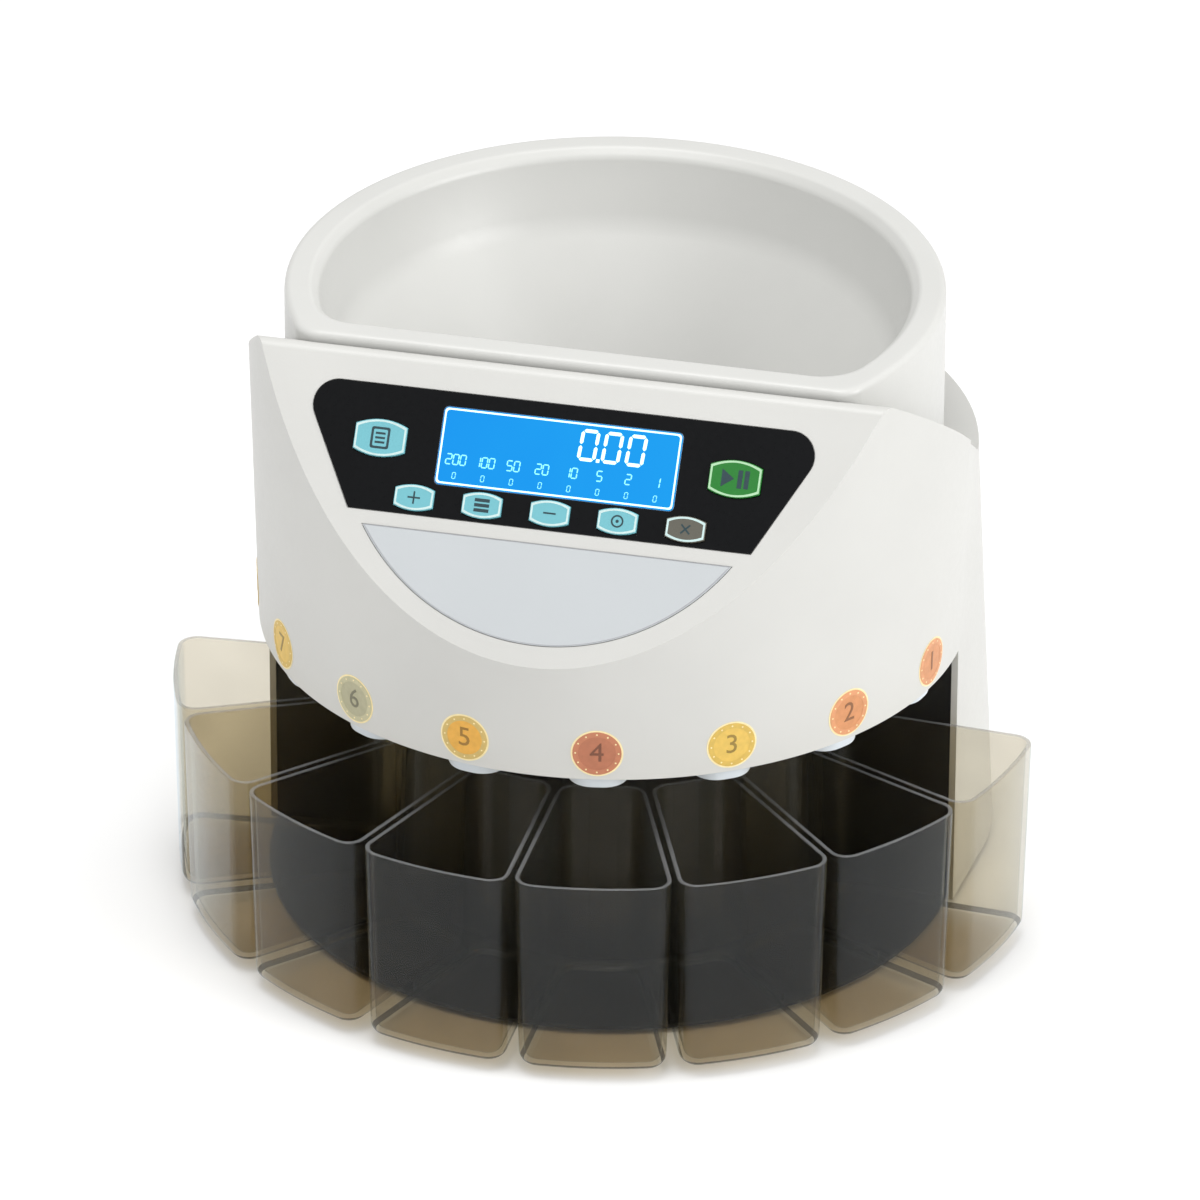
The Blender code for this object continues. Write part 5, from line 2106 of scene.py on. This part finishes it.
@dataclass(frozen=True)
class Electronics:
    """The circuit boards and their parts, and the screened power supply."""

    def on_board(self, name: str, mesh: bpy.types.Mesh, finish: bpy.types.Material, matrix: Matrix,
                 slot: Slot = Slot.BLACK) -> None:
        """Fits one part on a board.

        Args:
            name: Its name.
            mesh: The mesh to use.
            finish: The material.
            matrix: Its place.
            slot: The record's slot.
        """
        piece = solid(mesh, matrix)
        piece.name = name
        soften(piece, 0.15 * MM, 2, 50)
        dress(piece, finish, slot)

    def chip(self, name: str, width: float, length: float, height: float) -> bpy.types.Mesh:
        """A chip's body with a row of legs along each long side.

        Args:
            name: Its name.
            width: Its width.
            length: Its length.
            height: Its height.

        Returns:
            The mesh.
        """
        bm = bmesh.new()
        bm.from_mesh(block(name, (width, length, height), (0, 0, height / 2 + 0.4 * MM)))
        count = max(2, int(length / (2.5 * MM)))
        for side in (-1, 1):
            for i in range(count):
                y = (i - (count - 1) / 2) * 2.5 * MM
                leg = block("leg", (1.6 * MM, 0.6 * MM, 1.4 * MM), (side * width / 2, y, 0.7 * MM))
                bm.from_mesh(leg)
        return mesh_of(bm, name)

    def build(self, finishes: Finishes) -> None:
        """Fits chips, capacitors and plugs on the main board, and finishes the boards.

        Args:
            finishes: The finishes.
        """
        refinish(finishes.board, "main_board", "display_board", "sensor_board")
        refinish(finishes.plated, "power_supply", edge=0.5 * MM)
        low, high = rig.box("main_board")
        middle = (low + high) / 2 - axis_place()
        top = Matrix.Translation((middle.x, middle.y, high.z))
        for n, (x, y, w, d) in enumerate([(-18, 8, 14, 14), (8, 16, 8, 18), (10, -16, 8, 12)], 1):
            spot = top @ Matrix.Translation((x * MM, y * MM, 0.05 * MM))
            chip = self.chip("chip", w * MM, d * MM, 2.2 * MM)
            self.on_board(f"board_chip_{n}", chip, finishes.black, spot)
        cans = [(30, 18, 5, 12), (30, 4, 5, 12), (30, -9, 4, 9), (-2, -22, 3, 7)]
        for n, (x, y, r, h) in enumerate(cans, 1):
            rim = 0.6 * MM
            can = [(0, h * MM), (r * MM - rim, h * MM), (r * MM, h * MM - rim), (r * MM, 1.8 * MM)]
            can += [(r * MM - rim, 1.3 * MM), (r * MM, 0.9 * MM), (r * MM, 0.1 * MM), (0, 0.1 * MM)]
            spot = top @ Matrix.Translation((x * MM, y * MM, 0))
            self.on_board(f"board_capacitor_{n}", turned("can", can, 32), finishes.plated, spot, Slot.STEEL)
        for n, y in enumerate((24, -24), 1):
            shell = solid(block("plug", (16 * MM, 7 * MM, 8 * MM), (0, 0, 4.05 * MM)))
            carve(shell, block("mouth", (14 * MM, 5 * MM, 8 * MM), (0, 0, 7 * MM)))
            mesh = shell.data.copy()
            bpy.data.objects.remove(shell)
            spot = top @ Matrix.Translation((-24 * MM, y * MM, 0))
            self.on_board(f"board_plug_{n}", mesh, finishes.nylon, spot, Slot.NYLON)
        log.info("electronics: three boards and a supply")


@dataclass(frozen=True)
class Rear:
    """The rear panel with its mains inlet, rocker switch, data port and screws."""

    def build(self, finishes: Finishes) -> None:
        """Finishes the panel's fittings, and models the screws and switch marks.

        Args:
            finishes: The finishes.
        """
        refinish(finishes.dark_fitting, "rear_panel", edge=0.3 * MM)
        refinish(finishes.black, "power_inlet", "switch_frame", "data_port", edge=0.25 * MM)
        refinish(finishes.dark_fitting, "switch_rocker")
        for n in range(1, 5):
            self.build_screw(n, finishes)
        self.build_marks(finishes)
        log.info("rear: panel, fittings and four screws")

    def build_screw(self, number: int, finishes: Finishes) -> None:
        """A pan-head screw with a cross recess.

        Args:
            number: Which one, from 1.
            finishes: The finishes.
        """
        low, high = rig.box(f"rear_screw_{number}")
        middle = (low + high) / 2 - axis_place()
        head = (high.x - low.x) / 2
        deep = high.y - low.y
        profile = eased([(0, 0), (head * 0.75, 0), (head, -1.0 * MM), (head, -1.3 * MM)],
                        [0, 0.6 * MM, 0.25 * MM, 0])
        profile += [(1.3 * MM, -1.35 * MM), (1.3 * MM, -deep), (0, -deep)]
        place = Matrix.Translation((middle.x, high.y - axis_place().y, middle.z))
        place @= Matrix.Rotation(-math.pi / 2, 4, "X")
        screw = solid(turned(f"pan_screw_{number}", profile, 32), place)
        for size in ((3.4 * MM, 0.6 * MM, 1.6 * MM), (0.6 * MM, 3.4 * MM, 1.6 * MM)):
            carve(screw, block("recess", size), place)
        dress(screw, finishes.plated, Slot.STEEL, replaces=[f"rear_screw_{number}"])

    def build_marks(self, finishes: Finishes) -> None:
        """The switch's two marks: a bar for on and a ring for off, pressed into the rocker's face.

        Args:
            finishes: The finishes.
        """
        low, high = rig.box("switch_rocker")
        middle = (low + high) / 2 - axis_place()
        face = high.y - axis_place().y
        place = Matrix.Translation((middle.x, face - 0.9 * MM, middle.z))
        place @= Matrix.Rotation(-math.pi / 2, 4, "X")
        half = (high.z - low.z) / 4
        ring = [circle(1.5 * MM, 24, (0, half)), circle(1.0 * MM, 24, (0, half))]
        bar = [(-0.25 * MM, -half - 1.6 * MM), (0.25 * MM, -half - 1.6 * MM)]
        bar += [(0.25 * MM, -half + 1.6 * MM), (-0.25 * MM, -half + 1.6 * MM)]
        marks = solid(plate("rocker_marks", [*ring, bar], 0, 0.6 * MM), place)
        dress(marks, finishes.pale_ink, Slot.RUBBER, "rocker")


# --- studio --------------------------------------------------------------------------------


@dataclass(frozen=True)
class Studio:
    """Pale floor, soft lamps and the camera."""

    azimuth: float = math.radians(13.3)
    elevation: float = math.radians(28.7)
    roll: float = math.radians(0.3)
    distance: float = 4.5
    lens: float = 333.5
    aim: Point = (-5.5 * MM, 121.1 * MM)

    def build(self) -> None:
        """Sets the stage."""
        self.build_floor()
        self.build_lamps()
        self.build_camera()
        log.info("studio: floor, lamps and camera")

    def build_floor(self) -> None:
        """A wide pale floor and a pale surrounding light."""
        floor = solid(block("studio_floor", (8, 8, 0.01), (0, 0, -0.0051)))
        paper = Shader("white_paper")
        paper.tinted((0.97, 0.97, 0.968), 0.01, paper.spread(paper.noise(3, 2), 0, 1))
        paper.link(paper.bump(paper.noise(500, 2), 0.02 * MM, 0.2), paper.surface.inputs["Normal"])
        paper.set(Roughness=0.75)
        floor.data.materials.append(paper.material)
        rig.stage(floor)
        world = bpy.data.worlds.new("studio")
        world.use_nodes = True
        sky = world.node_tree.nodes["Background"]
        sky.inputs["Color"].default_value = (1, 1, 1, 1)
        sky.inputs["Strength"].default_value = 0.66
        bpy.context.scene.world = world

    def lamp(self, name: str, spot: Sequence[float], size: float, power: float) -> None:
        """A square soft lamp aimed at the machine.

        Args:
            name: Its name.
            spot: Where it hangs.
            size: The side of its square.
            power: Its power in watts.
        """
        data = bpy.data.lights.new(name, "AREA")
        data.size = size
        data.energy = power
        lamp = bpy.data.objects.new(name, data)
        bpy.context.scene.collection.objects.link(lamp)
        lamp.location = spot
        aim = Vector((0, 0, 0.12)) - Vector(spot)
        lamp.rotation_euler = aim.to_track_quat("-Z", "Y").to_euler()

    def build_lamps(self) -> None:
        """A broad key from the right, a strong top lamp and a weak fill."""
        self.lamp("key", (2.2, -0.5, 1.1), 1.2, 28)
        self.lamp("fill", (-2.0, -0.8, 0.9), 1.2, 3)
        self.lamp("top", (-0.1, -0.4, 2.3), 1.4, 29)

    def build_camera(self) -> None:
        """A long lens looking slightly from the right and above."""
        a, e = self.azimuth, self.elevation
        back = Vector((math.sin(a) * math.cos(e), -math.cos(a) * math.cos(e), math.sin(e)))
        across, height = self.aim
        target = axis_place() + Vector((across * math.cos(a), across * math.sin(a), height))
        data = bpy.data.cameras.new("camera")
        data.lens = self.lens
        data.sensor_width = 36
        data.clip_end = 50
        camera = bpy.data.objects.new("camera", data)
        bpy.context.scene.collection.objects.link(camera)
        turn = (-back).to_track_quat("-Z", "Y").to_matrix().to_4x4()
        camera.matrix_world = (
            Matrix.Translation(target + back * self.distance) @ turn @ Matrix.Rotation(self.roll, 4, "Z")
        )
        bpy.context.scene.camera = camera
        bpy.context.scene.view_settings.view_transform = "Standard"
        bpy.context.scene.cycles.transparent_max_bounces = 40


def main() -> None:
    """Builds every sub-assembly in order."""
    logging.basicConfig(level=logging.INFO, format="%(name)s: %(message)s")
    Studio().build()
    finishes = Finishes()
    housing, hopper, fascia = Housing(), Hopper(), Fascia()
    housing.build(finishes, fascia, hopper)
    hopper.build(finishes)
    fascia.build(finishes)
    CupRing().build(finishes)
    Stickers().build(finishes, housing)
    Base().build(finishes)
    SortingUnit().build(finishes)
    Drive().build(finishes)
    Electronics().build(finishes)
    Rear().build(finishes)
    boxes = {"cad": CAD_BOX, "visual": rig.bounds()}
    plain = {name: [[float(v) for v in corner] for corner in box] for name, box in boxes.items()}
    with open("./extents.json", "w") as out:
        json.dump(plain, out)


if __name__ == "__main__":
    main()
